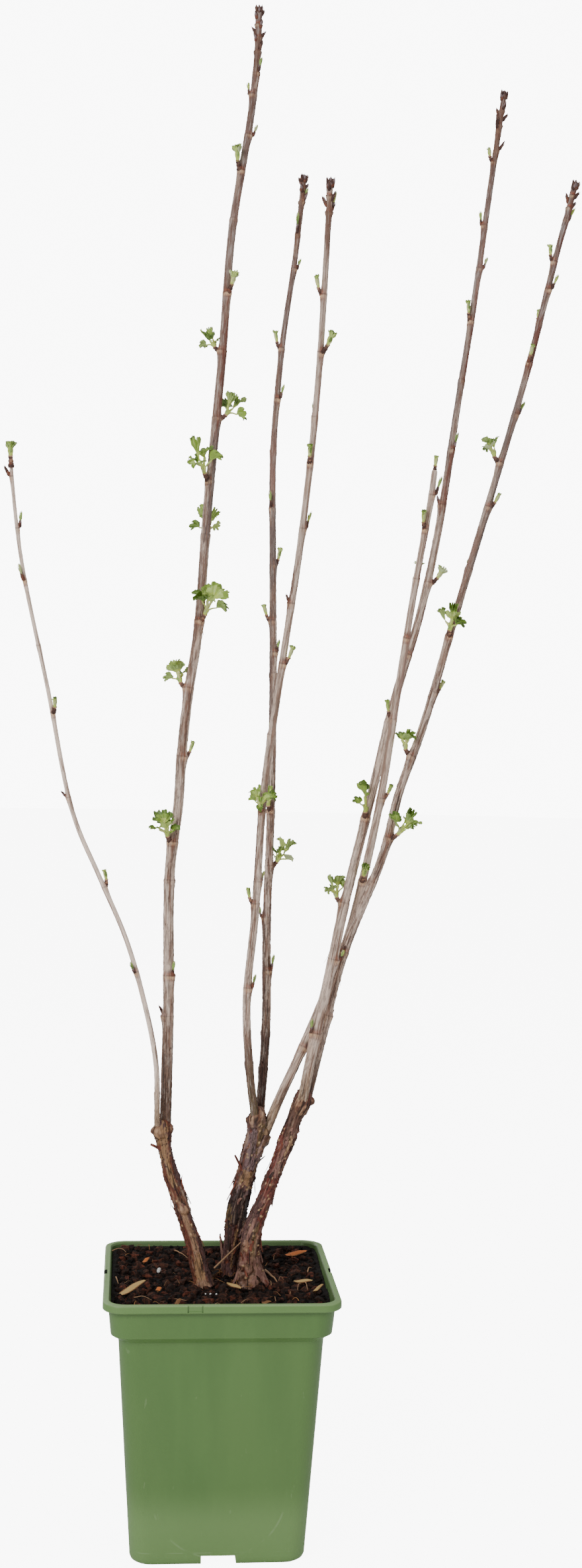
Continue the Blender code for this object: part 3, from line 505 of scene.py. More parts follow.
def bump(tree, shader, height, strength, distance):
    node = tree.nodes.new("ShaderNodeBump")
    node.inputs["Strength"].default_value = strength
    node.inputs["Distance"].default_value = distance
    tree.links.new(height, node.inputs["Height"])
    tree.links.new(node.outputs["Normal"], shader.inputs["Normal"])


def cane_bark(streaks):
    """Bark painted by place, under pale film, brown fibres, and dark slits where the bark is cracked."""
    bark, tree, shader = new_material("cane bark", 0.66)
    colour, cracked = paint_of(tree)
    film = streak(tree, streaks, 760, 64, 0.52, 0.60)
    fibre = streak(tree, streaks, 1800, 190, 0.48, 0.62)
    blot = streak(tree, streaks, 420, 150, 0.50, 0.64)
    slit = streak(tree, streaks, 1100, 42, 0.56, 0.61)
    speck = streak(tree, streaks, 1500, 330, 0.62, 0.68)
    dark = maths(tree, "MULTIPLY", maths(tree, "MAXIMUM", slit, speck), cracked)
    film_share, fibre_share = (maths(tree, "ADD", part(tree, cracked, 0.24), low) for low in (0.15, 0.12))
    colour = mix(tree, maths(tree, "MULTIPLY", film, film_share), colour, srgb(240, 226, 212))
    colour = mix(tree, maths(tree, "MULTIPLY", fibre, fibre_share), colour, srgb(108, 74, 58))
    blot_share = maths(tree, "ADD", part(tree, cracked, 0.7), 0.05)
    colour = mix(tree, maths(tree, "MULTIPLY", blot, blot_share), colour, srgb(108, 78, 70))
    colour = mix(tree, part(tree, dark, 0.95), colour, srgb(46, 26, 20))
    tree.links.new(colour, shader.inputs["Base Color"])
    tree.links.new(maths(tree, "ADD", part(tree, fibre, 0.22), 0.58), shader.inputs["Roughness"])
    bump(tree, shader, maths(tree, "SUBTRACT", maths(tree, "ADD", part(tree, film, 0.5), 1.0), dark), 0.8, 0.0005)
    return bark


def trunk_bark(streaks):
    """Old bark painted by place: smooth panels between cracked ones, with dark slits and grey shreds."""
    bark, tree, shader = new_material("trunk bark", 0.8)
    colour, cracked = paint_of(tree)
    fibre = streak(tree, streaks, 1500, 56, 0.46, 0.66)
    shred = streak(tree, streaks, 460, 34, 0.60, 0.66)
    slit = maths(tree, "MULTIPLY", streak(tree, streaks, 820, 60, 0.53, 0.60), cracked)
    speck = streak(tree, streaks, 1100, 420, 0.61, 0.67)
    colour = mix(tree, part(tree, fibre, 0.32), colour, srgb(92, 48, 36))
    colour = mix(tree, part(tree, shred, 0.42), colour, srgb(204, 174, 150))
    colour = mix(tree, part(tree, speck, 0.5), colour, srgb(56, 33, 27))
    colour = mix(tree, part(tree, slit, 0.88), colour, srgb(32, 18, 15))
    tree.links.new(colour, shader.inputs["Base Color"])
    tree.links.new(maths(tree, "ADD", part(tree, cracked, 0.34), 0.5), shader.inputs["Roughness"])
    relief = maths(tree, "SUBTRACT", maths(tree, "ADD", part(tree, shred, 0.5), 1.0), slit)
    bump(tree, shader, maths(tree, "SUBTRACT", relief, part(tree, speck, 0.4)), 0.8, 0.0006)
    return bark


def flake_bark(streaks, name, dark, light):
    """A loose strip's own tone, streaked across its breadth."""
    bark, tree, shader = new_material(name, 0.78)
    blotch = use_group(tree, streaks, Scale=520, Stretch=80, From=0.40, To=0.62)
    tree.links.new(mix(tree, blotch, dark, light), shader.inputs["Base Color"])
    bump(tree, shader, blotch, 0.5, 0.0004)
    return bark


def wall_place(tree):
    """(along, height) on a pot's wall in metres: along runs from 0 at a wall's middle, whichever wall it is."""
    place = tree.nodes.new("ShaderNodeTexCoord")
    axes = tree.nodes.new("ShaderNodeSeparateXYZ")
    tree.links.new(place.outputs["Object"], axes.inputs[0])
    across = [maths(tree, "ABSOLUTE", axes.outputs[axis], 0.0) for axis in ("X", "Y")]
    return maths(tree, "MINIMUM", *across), axes.outputs["Z"]


def faces_inwards(tree):
    """1 where a face looks towards the pot's own axis, 0 elsewhere."""
    place = tree.nodes.new("ShaderNodeTexCoord")
    level = tree.nodes.new("ShaderNodeVectorMath")
    level.operation = "MULTIPLY"
    level.inputs[1].default_value = (1, 1, 0)
    tree.links.new(place.outputs["Object"], level.inputs[0])
    dot = tree.nodes.new("ShaderNodeVectorMath")
    dot.operation = "DOT_PRODUCT"
    tree.links.new(level.outputs[0], dot.inputs[0])
    tree.links.new(place.outputs["Normal"], dot.inputs[1])
    return ramp_node(tree, dot.outputs["Value"], -0.01, -0.04)


def ramp_node(tree, value, start, end):
    """0 at the start and 1 at the end, smooth between."""
    node = tree.nodes.new("ShaderNodeMapRange")
    node.interpolation_type = "SMOOTHSTEP"
    node.inputs["From Min"].default_value = start
    node.inputs["From Max"].default_value = end
    tree.links.new(value, node.inputs["Value"])
    return node.outputs[0]


def pot_plastic(blotches):
    """Satin green moulded plastic: streaky, paler at its lip, with a faint arc and seam, painted bounce light that
    pales it near its foot, a painted highlight along the lip's top edge and painted shade on its inner walls.
    """
    plastic, tree, shader = new_material("pot plastic", 0.4)
    flow = use_group(tree, blotches, Scale=34, Stretch=6, From=0.35, To=0.68)
    cloud = use_group(tree, blotches, Scale=11, Stretch=7, From=0.35, To=0.65)
    patch = use_group(tree, blotches, Scale=60, Stretch=60, From=0.42, To=0.6)
    scuff = use_group(tree, blotches, Scale=210, Stretch=60, From=0.70, To=0.76)
    along, height = wall_place(tree)
    rise = maths(tree, "SUBTRACT", height, MOULD_ARC_HEIGHT * MM)
    reach = maths(tree, "SQRT", maths(tree, "ADD", maths(tree, "MULTIPLY", along, along),
                                      maths(tree, "MULTIPLY", rise, rise)), 0.0)
    off_arc = maths(tree, "ABSOLUTE", maths(tree, "SUBTRACT", reach, MOULD_ARC_RADIUS * MM), 0.0)
    off_seam = maths(tree, "ABSOLUTE", maths(tree, "SUBTRACT", height, MOULD_SEAM_HEIGHT * MM), 0.0)
    # Height mask of the pot's lower part: it carries the painted bounce light near the foot and keeps the arc low.
    low = ramp_node(tree, height, 0.068, 0.030)
    lip = ramp_node(tree, height, 0.2108, 0.2122)
    # The lip's rounded top edge, which carries a painted highlight.
    rim = ramp_node(tree, height, 0.2164, 0.2176)
    arc = maths(tree, "MULTIPLY", ramp_node(tree, off_arc, 0.0011, 0.0003), low)
    seam = ramp_node(tree, off_seam, 0.0006, 0.0001)
    lines = maths(tree, "MULTIPLY", maths(tree, "MAXIMUM", arc, seam), patch)
    colour = mix(tree, part(tree, flow, 0.45), srgb(92, 129, 67), srgb(107, 145, 80))
    colour = mix(tree, part(tree, cloud, 0.35), colour, srgb(102, 134, 73))
    # Painted bounce light: the wall is mixed paler towards its foot, as if lit from the floor.
    colour = mix(tree, part(tree, low, 0.6), colour, srgb(133, 168, 104))
    shade = faces_inwards(tree)
    colour = mix(tree, part(tree, lip, 0.5), colour, srgb(124, 160, 96))
    # Painted highlight: a pale line along the lip's rounded top edge.
    colour = mix(tree, part(tree, rim, 0.4), colour, srgb(150, 180, 122))
    colour = mix(tree, part(tree, maths(tree, "MAXIMUM", lines, part(tree, scuff, 0.5)), 0.35), colour, srgb(160, 186, 138))
    # Painted shade: faces that look towards the pot's axis, its inner walls, are mixed darker.
    colour = mix(tree, part(tree, shade, 0.62), colour, srgb(60, 80, 42))
    tree.links.new(colour, shader.inputs["Base Color"])
    tree.links.new(maths(tree, "ADD", part(tree, flow, 0.12), 0.36), shader.inputs["Roughness"])
    bump(tree, shader, flow, 0.1, 0.0006)
    return plastic


def compost(blotches, name, dark, light):
    crumb, tree, shader = new_material(name, 0.92)
    shader.inputs["Specular IOR Level"].default_value = 0.25
    blotch = use_group(tree, blotches, Scale=420, Stretch=300, From=0.38, To=0.64)
    tree.links.new(mix(tree, blotch, dark, light), shader.inputs["Base Color"])
    bump(tree, shader, blotch, 0.7, 0.0007)
    return crumb


def plain(name, colour, roughness, sheen_through=0.0):
    """A plain colour. Thin green pieces let a little light through."""
    material, _, shader = new_material(name, roughness)
    shader.inputs["Base Color"].default_value = colour
    shader.inputs["Subsurface Weight"].default_value = sheen_through
    shader.inputs["Subsurface Radius"].default_value = (0.6 * MM, 1.0 * MM, 0.3 * MM)
    return material


def smooth_route(points, step):
    """Points of a smooth curve through the given ones, about a step apart. A radius in them rides along."""
    knots = [0.0]
    for a, b in zip(points, points[1:]):
        knots.append(knots[-1] + math.sqrt(math.dist(a[:3], b[:3])))
    last = len(points) - 1
    slopes = []
    for i in range(len(points)):
        before, after = max(i - 1, 0), min(i + 1, last)
        if before == i or after == i:
            span = knots[after] - knots[before]
            slopes.append([(q - p) / span for p, q in zip(points[before], points[after])])
            continue
        d0, d1 = knots[i] - knots[before], knots[after] - knots[i]
        slopes.append([((q - p) / d0 * d1 + (r - q) / d1 * d0) / (d0 + d1)
                       for p, q, r in zip(points[before], points[i], points[after])])
    route = []
    for i in range(last):
        span = knots[i + 1] - knots[i]
        count = max(1, round(math.dist(points[i][:3], points[i + 1][:3]) / step))
        for k in range(count):
            s = k / count
            h00, h10 = 2 * s**3 - 3 * s**2 + 1, s**3 - 2 * s**2 + s
            h01, h11 = 3 * s**2 - 2 * s**3, s**3 - s**2
            route.append([h00 * p + h10 * span * u + h01 * q + h11 * span * v
                          for p, u, q, v in zip(points[i], slopes[i], points[i + 1], slopes[i + 1])])
    route.append(list(points[-1]))
    return route


def frame_at(tangent):
    """Unit vectors towards the front and the right of a limb that runs along this tangent."""
    front = Vector((0, -1, 0))
    front = (front - front.dot(tangent) * tangent).normalized()
    return front, tangent.cross(front)


class Limb:
    """The course of a trunk or a cane: its axis, radius and tangent at any height."""

    def __init__(self, points):
        self.axis = [Vector(point[:3]) * MM for point in points]
        self.radii = [point[3] * MM for point in points]
        ends = [self.axis[0], *self.axis, self.axis[-1]]
        self.tangents = [(after - before).normalized() for before, after in zip(ends, ends[2:])]

    def span(self, height):
        """(number, share) of the stretch of axis that holds this height."""
        for i in range(len(self.axis) - 1):
            low, high = self.axis[i], self.axis[i + 1]
            if height <= high.z or i == len(self.axis) - 2:
                return i, (height - low.z) / (high.z - low.z)

    def at(self, height):
        """(centre, tangent, radius) where the limb reaches this height."""
        i, share = self.span(height)
        low, high = self.axis[i], self.axis[i + 1]
        radius = self.radii[i] + share * (self.radii[i + 1] - self.radii[i])
        return low.lerp(high, share), (high - low).normalized(), radius

    def smooth_at(self, height):
        """The same with a tangent that turns evenly from point to point."""
        i, share = self.span(height)
        centre, _, radius = self.at(height)
        tangent = self.tangents[i].lerp(self.tangents[i + 1], min(max(share, 0), 1)).normalized()
        return centre, tangent, radius

    def side(self, height, angle):
        """(centre, tangent, radius, outward) at a height, with outward the unit vector to that side."""
        centre, tangent, radius = self.at(height)
        front, right = frame_at(tangent)
        turn = math.radians(angle)
        return centre, tangent, radius, math.cos(turn) * front + math.sin(turn) * right


def trunk_course(spec):
    return Limb(smooth_route(spec["route"], TRUNK_STEP))


def cane_course(spec):
    points = smooth_route(spec["route"], CANE_STEP)
    foot, tip = spec["radius"]
    low, high = points[0][2], points[-1][2]
    return Limb([(x, y, z, foot + (tip - foot) * (z - low) / (high - low)) for x, y, z in points])


def bud_places(spec):
    """(height, side, kind, length) of each bud, going down the cane round its spiral."""
    places = []
    for i, (height, kind, length, *own_side) in enumerate(spec["buds"]):
        side = own_side[0] if own_side else spec["first_side"] + i * spec["turn"]
        places.append((height * MM, side, kind, length * MM))
    return places


def towards(along, outward, lean):
    turn = math.radians(lean)
    return math.cos(turn) * along + math.sin(turn) * outward


def finish_mesh(name, bm, materials, smooth_angle=40):
    """An object of this mesh with faces outwards, smooth but for its sharp edges."""
    bm.normal_update()
    bmesh.ops.recalc_face_normals(bm, faces=bm.faces)
    mesh = bpy.data.meshes.new(name)
    bm.to_mesh(mesh)
    bm.free()
    for material in materials:
        mesh.materials.append(material)
    mesh.shade_smooth()
    mesh.set_sharp_from_angle(angle=math.radians(smooth_angle))
    obj = bpy.data.objects.new(name, mesh)
    bpy.context.scene.collection.objects.link(obj)
    return obj


def tube_skin(name, course, heights, sides, grain_radius, shift, skin, material):
    """A closed skin round a limb. skin gives the reach and the colour at a height and an angle."""
    points, grains, colours = [], [], []
    for height in heights:
        centre, tangent, radius = course.smooth_at(height)
        front, right = frame_at(tangent)
        for i in range(sides):
            angle = 2 * math.pi * i / sides
            outward = math.cos(angle) * front + math.sin(angle) * right
            reach, colour = skin(height, angle, radius, centre, outward)
            points.append(centre + reach * outward)
            grains.append((grain_radius * math.cos(angle) * MM, grain_radius * math.sin(angle) * MM, height + shift))
            colours.append(colour)
    rows = len(heights)
    faces = []
    for row in range(rows - 1):
        for i in range(sides):
            j = (i + 1) % sides
            faces.append((row * sides + i, row * sides + j, (row + 1) * sides + j, (row + 1) * sides + i))
    for row, turned in ((0, True), (rows - 1, False)):
        ring = list(range(row * sides, (row + 1) * sides))
        pole = len(points)
        points.append(sum((points[i] for i in ring), Vector()) / sides)
        grains.append((0, 0, heights[row] + shift))
        colours.append(colours[ring[0]])
        for i in range(sides):
            a, b = ring[i], ring[(i + 1) % sides]
            faces.append((b, a, pole) if turned else (a, b, pole))
    mesh = bpy.data.meshes.new(name)
    mesh.from_pydata(points, [], faces)
    grain = mesh.attributes.new("grain", "FLOAT_VECTOR", "POINT")
    grain.data.foreach_set("vector", [number for value in grains for number in value])
    paint = mesh.attributes.new("paint", "FLOAT_COLOR", "POINT")
    paint.data.foreach_set("color", [number for value in colours for number in value])
    mesh.materials.append(material)
    mesh.shade_smooth()
    obj = bpy.data.objects.new(name, mesh)
    bpy.context.scene.collection.objects.link(obj)
    return obj


def bell(distance, width):
    return math.exp(-((distance / width) ** 2))


def turn_between(angle, side):
    """The angle in radians from a side given in degrees, from minus to plus half a turn."""
    return (angle - math.radians(side) + math.pi) % (2 * math.pi) - math.pi


def cane_colour(rise, turn, facing, age, young, film, brown, mottle, wave):
    """A cane's colour at a rise above its nearest bud and a turn from that bud's side."""
    colour = tint(BARK["dull"], BARK["pale"], film)
    fresh = tint(BARK["young"], BARK["silver"], 0.55 * climb(mottle, -0.05, 0.30))
    fresh = tint(fresh, BARK["plum"], 0.50 * climb(-mottle, 0.08, 0.34))
    colour = tint(colour, fresh, young)
    colour = tint(colour, BARK["under"], 0.62 * brown)
    strength = 0.7 + 0.3 * age
    if -32 < rise < 0:
        fall = -rise / 32
        spread = 0.35 + 1.1 * fall
        inside = climb(spread - abs(turn), -0.05, 0.12) * (1 - fall) * (0.45 + 0.55 * facing)
        colour = tint(colour, BARK["peeled"], (0.55 + 0.4 * wave) * inside)
        colour = tint(colour, BARK["seam"], 0.7 * bell(abs(turn) - spread, 0.12) * (1 - fall) * climb(wave, -0.3, 0.2))
    near = 0.10 + 0.90 * facing**2
    pad = bell(rise + 2.1 + 0.8 * wave, 1.4)
    colour = tint(colour, BARK["node"], 0.75 * strength * near * bell(rise + 2.2, 2.6))
    colour = tint(colour, BARK["scar line"], 0.95 * strength * near * pad)
    colour = tint(colour, BARK["node"], strength * near * bell(rise - 1.2 - 0.5 * wave, 1.8) if rise > -1 else 0)
    colour = tint(colour, BARK["seam"], 0.9 * strength * facing**3 * bell(rise - 2.8, 1.7))
    colour = tint(colour, BARK["seam"], 0.55 * strength * near * bell(rise + 4.7 + 0.8 * wave, 0.5))
    return tint(colour, BARK["crack"], 0.85 * strength * (0.45 + 0.55 * facing) * bell(rise + 0.2 + 0.3 * wave, 0.55))


def cane_skin(name, course, spec, material):
    """A cane's bark: ridges, a shelf, ring and stripes at each bud, a rounded tip, and a foot sunk in its trunk."""
    places = bud_places(spec)
    low, high = course.axis[0].z, course.axis[-1].z
    seed = 10 * sorted(CANES).index(name)
    crowded = [centre.z for centre, *_ in cluster_places(course, spec)][::3]
    heights = [low - drop * MM for drop in SUNK_ROWS]
    heights += skin_heights(low, high, CANE_ROW * MM, [place[0] for place in places] + crowded)
    heights += [high + 0.2 * MM, high + 0.9 * MM]
    low_tone, high_tone = spec["tone"]
    foot_tone, foot_length = spec["foot"]
    girth = spec.get("girth", 0.97)

    def skin(height, angle, radius, centre, outward):
        along = height / MM
        cos, sin = math.cos(angle), math.sin(angle)
        broad = noise.noise(Vector((1.7 * cos + seed, 1.7 * sin, along / 45)))
        stripe = noise.noise(Vector((4.2 * cos, 4.2 * sin + seed, along / 20)))
        thin = noise.noise(Vector((8 * cos + seed, 8 * sin, along / 12)))
        wave = noise.noise(Vector((1.5 * cos + seed, 1.5 * sin, along / 9)))
        rough = noise.noise(Vector((5 * cos, 5 * sin + seed, along / 3.2)))
        mottle = noise.noise(Vector((2.6 * cos, 2.6 * sin + seed, along / 8))) + 0.5 * thin
        age = (height - low) / (high - low)
        tone = low_tone + (high_tone - low_tone) * age
        old = climb(low + foot_length * MM - height, 0, foot_length * MM)
        cracked = (1 - 0.75 * climb(age, 0.3, 0.75)) * (1.15 - 0.85 * tone)
        young = 0.8 * climb(age, 0.4, 0.85) * climb(0.75 - tone, 0, 0.3) + 0.2 * climb(age, 0.6, 1)
        film = climb(0.8 * broad + 0.9 * stripe + 0.35 * thin + 0.5 * (tone - 0.45) - 0.2 * young, -0.22, 0.22)
        film *= 1 + 0.36 * climb(tone, 0.5, 1.1) + 0.4 * climb(tone, 1.1, 1.5)
        brown = climb(-0.7 * broad - 0.6 * stripe + 0.5 * thin - 0.55 * (tone - 0.35), 0.10, 0.34)
        reach = girth * radius * (1 + 0.035 * broad + 0.055 * stripe * (1 - 0.6 * age) + 0.02 * film)
        reach += 0.5 * MM * rough * (0.25 + 0.75 * max(cracked, old))
        node_height, side, _, _ = min(places, key=lambda place: abs(place[0] - 6 * MM - height))
        rise = (height - node_height) / MM
        turn = turn_between(angle, side)
        facing = 0.5 + 0.5 * math.cos(turn)
        if abs(rise) < 34:
            shelf = bell(rise, 8.0) if rise < 0 else bell(rise, 0.7)
            reach += radius * (0.06 + 0.27 * facing**2) * shelf
            reach += radius * 0.22 * facing**4 * bell(rise - 1.5, 3.2)
            reach -= radius * 0.07 * (0.2 + 0.8 * facing) * bell(rise - 0.1, 0.5)
        if -34 < rise < 0:
            reach += radius * 0.06 * bell(abs(turn) - 0.35 - 1.1 * -rise / 32, 0.16) * (1 + rise / 34)
        if height > high - 2 * MM:
            reach *= max(0.25, 1 - ((height - high + 2 * MM) / (3 * MM)) ** 2)
        if height < low:
            reach *= math.sqrt(max(0.04, 1 - ((low - height) / (SUNK_ROWS[0] * MM)) ** 2))
        colour = cane_colour(rise, turn, facing, age, young, film, brown, mottle, wave)
        for place in crowded:
            ring = (height - place) / MM + 0.5 * wave
            reach += 0.8 * MM * (bell(ring, 2.4) if ring < 0 else bell(ring, 0.6))
            colour = tint(colour, BARK["node"], 0.7 * bell(ring - 1.0, 1.2))
            colour = tint(colour, BARK["scar line"], 0.5 * bell(ring + 1.6, 1.1))
            colour = tint(colour, BARK["crack"], 0.7 * bell(ring, 0.5))
        for zone_height, zone_side, half_length, half_width, zone_tone in spec["zones"]:
            off = max(abs(along - zone_height) / half_length,
                      abs(turn_between(angle, zone_side)) / math.radians(half_width))
            colour = tint(colour, BARK[zone_tone], 0.88 * climb(1.0 - off + 0.9 * stripe + 0.5 * thin, 0, 0.2))
        colour = tint(colour, BARK[foot_tone], min(1, 1.5 * old) * climb(old + 0.9 * stripe + 0.6 * thin, 0.05, 0.5))
        colour = tint(colour, BARK["crack"], 0.6 * old * climb(-rough - 0.5 * thin, 0.12, 0.3))
        return reach, (*colour[:3], min(cracked + 0.4 * old, 1))

    return tube_skin(f"bark_{name}", course, heights, CANE_SIDES, CANE_GRAIN, GRAIN_SHIFT * seed, skin, material)


def ball_reach(centre, outward, place, radius):
    """How far a ray from a limb's axis goes before it leaves a knob, or 0 where it misses."""
    offset = place - centre
    along = offset.dot(outward)
    room = radius**2 - (offset.length_squared - along**2)
    return along + math.sqrt(room) if room > 0 and along > 0 else 0


def plate_edge(cos, sin, along, seed, stretch):
    """How far inside a plate of bark a place lies. Below 0 the plate has come off."""
    return (noise.noise(Vector((1.5 * cos, 1.5 * sin + seed, along / stretch)))
            + 0.45 * noise.noise(Vector((4.5 * cos + seed, 4.5 * sin, along / (0.35 * stretch))))
            + 0.20 * noise.noise(Vector((10 * cos, 10 * sin, along / 3 + seed))))


def scattered_pores(spec, rng):
    """A tree of the pores' places on the unrolled bark, as (height, side in mm round the trunk)."""
    tree = KDTree(spec["pores"][0])
    count, low, high, side, spread = spec["pores"]
    for i in range(count):
        turn = math.radians(side + spread * rng.uniform(-1, 1))
        tree.insert((rng.uniform(low, high), TRUNK_GRAIN * (turn % (2 * math.pi)), 0), i)
    tree.balance()
    return tree


def trunk_skin(name, course, spec, canes, material):
    """A trunk's bark: two layers of plates that have peeled in places, knobs, and a callus at each cane's foot."""
    balls = [(Vector(place) * MM, KNOB_SHARE * radius * MM, 0.6) for *place, radius in spec["knobs"]]
    for cane in canes.values():
        foot, tangent = cane.axis[0], cane.at(cane.axis[0].z)[1]
        balls += [(foot + rise * MM * tangent, cane.radii[0] + width * MM, 1) for rise, width in COLLAR]
    low, high = course.axis[0].z, course.axis[-1].z
    rows = round((high - low) / (TRUNK_ROW * MM))
    heights = [low + (high - low) * i / rows for i in range(rows)]
    heights += [high + rise * MM for rise in (0.3, 1.2, 1.8)]
    seed = spec["seed"]
    pores = scattered_pores(spec, random.Random(name))
    under, middle, outer = (BARK[tone] for tone in spec["tones"])

    def skin(height, angle, radius, centre, outward):
        along = height / MM
        cos, sin = math.cos(angle), math.sin(angle)
        reach = radius
        callus = 0
        for place, size, share in balls:
            ball = 0.97 * ball_reach(centre, outward, place, size)
            fillet = max(FILLET * MM - abs(reach - ball), 0) if ball > 0 else 0
            reach = max(reach, ball) + fillet**2 / (4 * FILLET * MM)
            callus = max(callus, share * climb(ball / max(reach, ball), 0.86, 0.99))
        crumple = noise.noise(Vector((3.2 * cos + seed, 3.2 * sin, along / 3.5)))
        lumps = noise.noise(Vector((1.1 * cos + seed, 1.1 * sin, along / 16)))
        grain = noise.noise(Vector((8 * cos, 8 * sin, along / 9 + seed)))
        panel = noise.noise(Vector((2.1 * cos + seed, 2.1 * sin, along / 26)))
        first = plate_edge(cos, sin, along, seed, 34) + spec["cover"]
        second = plate_edge(cos, sin, along, seed + 7, 24) + 0.5 * spec["cover"] - 0.1
        peel = 1 - 0.8 * callus
        reach += MM * peel * (0.6 * climb(first, 0, 0.04) + 0.6 * climb(second, 0, 0.04) - 0.5)
        reach += 0.45 * MM * peel * (bell(first - 0.05, 0.05) + bell(second - 0.05, 0.05))
        reach += radius * (0.06 * lumps + 0.03 * grain + (0.035 + 0.11 * callus) * crumple)
        colour = tint(under, middle, climb(first, -0.02, 0.04))
        colour = tint(colour, outer, climb(second, -0.02, 0.04))
        colour = tint(colour, BARK["rust"], 0.55 * climb(panel, 0.12, 0.2))
        colour = tint(colour, BARK["rind"], 0.35 * climb(-panel, 0.18, 0.26))
        colour = tint(colour, BARK["red"], 0.6 * bell(second - 0.02, 0.05))
        # Painted shade: the trunk's left and right sides, as seen from the front, darken towards umber.
        colour = tint(colour, BARK["umber"], 0.45 * climb(abs(sin) + 0.5 * crumple, 0.7, 1.0))
        for zone_height, side, half_length, half_width, tone in spec["zones"]:
            off = max(abs(along - zone_height) / half_length, abs(turn_between(angle, side)) / math.radians(half_width))
            share = 0.85 * climb(1.0 - off + 0.6 * crumple + 0.4 * panel, 0, 0.12)
            colour = tint(colour, BARK[tone], share)
        colour = tint(colour, BARK["crack"], 0.85 * max(bell(first + 0.03, 0.04), bell(second + 0.03, 0.035)))
        foot = along - low / MM
        skirt = climb(spec["skirt"] - foot, 0, 12)
        if skirt > 0:
            flake = noise.noise(Vector((2.2 * cos, 2.2 * sin + seed, along / 6)))
            flake += 0.6 * noise.noise(Vector((5 * cos + seed, 5 * sin, along / 3)))
            reach += 1.7 * MM * skirt * (flake + 0.3)
            colour = tint(colour, BARK["pink"], 0.7 * skirt * climb(flake, 0.05, 0.2))
            colour = tint(colour, BARK["brown"], 0.7 * skirt * climb(-flake, -0.05, 0.1))
            colour = tint(colour, BARK["crack"], 0.9 * skirt * bell(flake + 0.12, 0.07))
        colour = tint(colour, BARK["callus"], 0.75 * callus * climb(0.8 + crumple, 0, 1))
        colour = tint(colour, BARK["rind"], 0.6 * callus * climb(crumple + 0.4 * grain, 0.1, 0.4))
        colour = tint(colour, BARK["umber"], 0.9 * callus * climb(-crumple - 0.3 * grain, 0.06, 0.22))
        _, _, off = pores.find((along, TRUNK_GRAIN * (angle % (2 * math.pi)), 0))
        pore = climb(1.15 - off, 0, 0.6)
        reach += 0.35 * MM * pore
        colour = tint(colour, BARK["pore"], 0.9 * pore)
        if height > high:
            reach *= math.sqrt(max(0.05, 1 - ((height - high) / (2 * MM)) ** 2))
        if foot < 14:
            reach *= 1 + 0.10 * (1 - foot / 14) ** 2 * (0.5 + noise.noise(Vector((2 * cos, 2 * sin, seed))))
        cracked = climb(0.25 + 1.3 * panel + 0.5 * lumps, 0, 0.5) * (1 - pore)
        return reach, (*colour[:3], cracked)

    return tube_skin(f"bark_trunk_{name}", course, heights, TRUNK_SIDES, TRUNK_GRAIN, GRAIN_SHIFT * seed, skin, material)


def closed_sheet(bm, rows, thickness, slot):
    """A thin closed shell over a grid of points: two skins that share the grid's edge.

    The slot is a number, or a function of a face's row and column and of whether it is on the lower skin.
    """
    last_row, last = len(rows) - 1, len(rows[0]) - 1
    slot_of = slot if callable(slot) else lambda row, column, below: slot
    upper, lower = [], []
    for r, row in enumerate(rows):
        above, below = [], []
        for c, point in enumerate(row):
            vert = bm.verts.new(point)
            above.append(vert)
            if r in (0, last_row) or c in (0, last):
                below.append(vert)
                continue
            normal = (rows[r + 1][c] - rows[r - 1][c]).cross(row[c + 1] - row[c - 1])
            below.append(bm.verts.new(point - thickness * normal.normalized()))
        upper.append(above)
        lower.append(below)
    for r in range(last_row):
        for c in range(last):
            face = bm.faces.new((upper[r][c], upper[r][c + 1], upper[r + 1][c + 1], upper[r + 1][c]))
            face.material_index = slot_of(r, c, False)
            face = bm.faces.new((lower[r][c], lower[r + 1][c], lower[r + 1][c + 1], lower[r][c + 1]))
            face.material_index = slot_of(r, c, True)


def rounded_place(x, y, half, corner):
    """A point of a square, drawn in to the arc where the square's corner is round."""
    inner = half - corner
    beyond = Vector((max(abs(x) - inner, 0), max(abs(y) - inner, 0)))
    if beyond.length > 0 and beyond.x > 0 and beyond.y > 0:
        beyond *= max(beyond.x, beyond.y) / beyond.length
        x, y = (math.copysign(inner + part, value) for part, value in zip(beyond, (x, y)))
    return x, y


def within_square(x, y, half, corner):
    """A point moved straight in to a square with round corners, if it lies outside."""
    inner = half - corner
    beyond = Vector((max(abs(x) - inner, 0), max(abs(y) - inner, 0)))
    if beyond.length > corner:
        beyond *= corner / beyond.length
        x = math.copysign(inner + beyond.x, x) if beyond.x else x
        y = math.copysign(inner + beyond.y, y) if beyond.y else y
    return x, y


def tapering_tube(bm, path, sides, slot):
    """A closed tube along points that each have a radius."""
    rings = []
    for i, (point, radius) in enumerate(path):
        ahead = (path[min(i + 1, len(path) - 1)][0] - path[max(i - 1, 0)][0]).normalized()
        front, right = frame_at(ahead)
        angles = [2 * math.pi * k / sides for k in range(sides)]
        rings.append([bm.verts.new(point + radius * (math.cos(a) * front + math.sin(a) * right)) for a in angles])
    for low, high in zip(rings, rings[1:]):
        for i in range(sides):
            j = (i + 1) % sides
            bm.faces.new((low[i], low[j], high[j], high[i])).material_index = slot
    bm.faces.new(rings[0][::-1]).material_index = slot
    bm.faces.new(rings[-1]).material_index = slot


def scale_leaf(bm, start, axis, turn, length, radius, spread, flare, slot, point=2.2):
    """A bud scale: a shell that hugs a bud's axis, a little open at its tip. A larger point makes it blunter."""
    front, right = frame_at(axis)
    rows = []
    for r in range(6):
        s = r / 5
        half = spread * (1 - 0.9 * s**point)
        out = radius * (0.72 + 0.55 * math.sin(math.pi * min(s * 0.75 + 0.1, 1)) - 0.62 * s**3) + flare * s**3
        row = []
        for c in range(5):
            angle = turn + half * (c - 2) / 2
            edge = 1 - 0.06 * ((c - 2) / 2) ** 2
            outward = math.cos(angle) * front + math.sin(angle) * right
            row.append(start + s * length * axis + edge * out * outward)
        rows.append(row)
    closed_sheet(bm, rows, 0.12 * MM, slot)


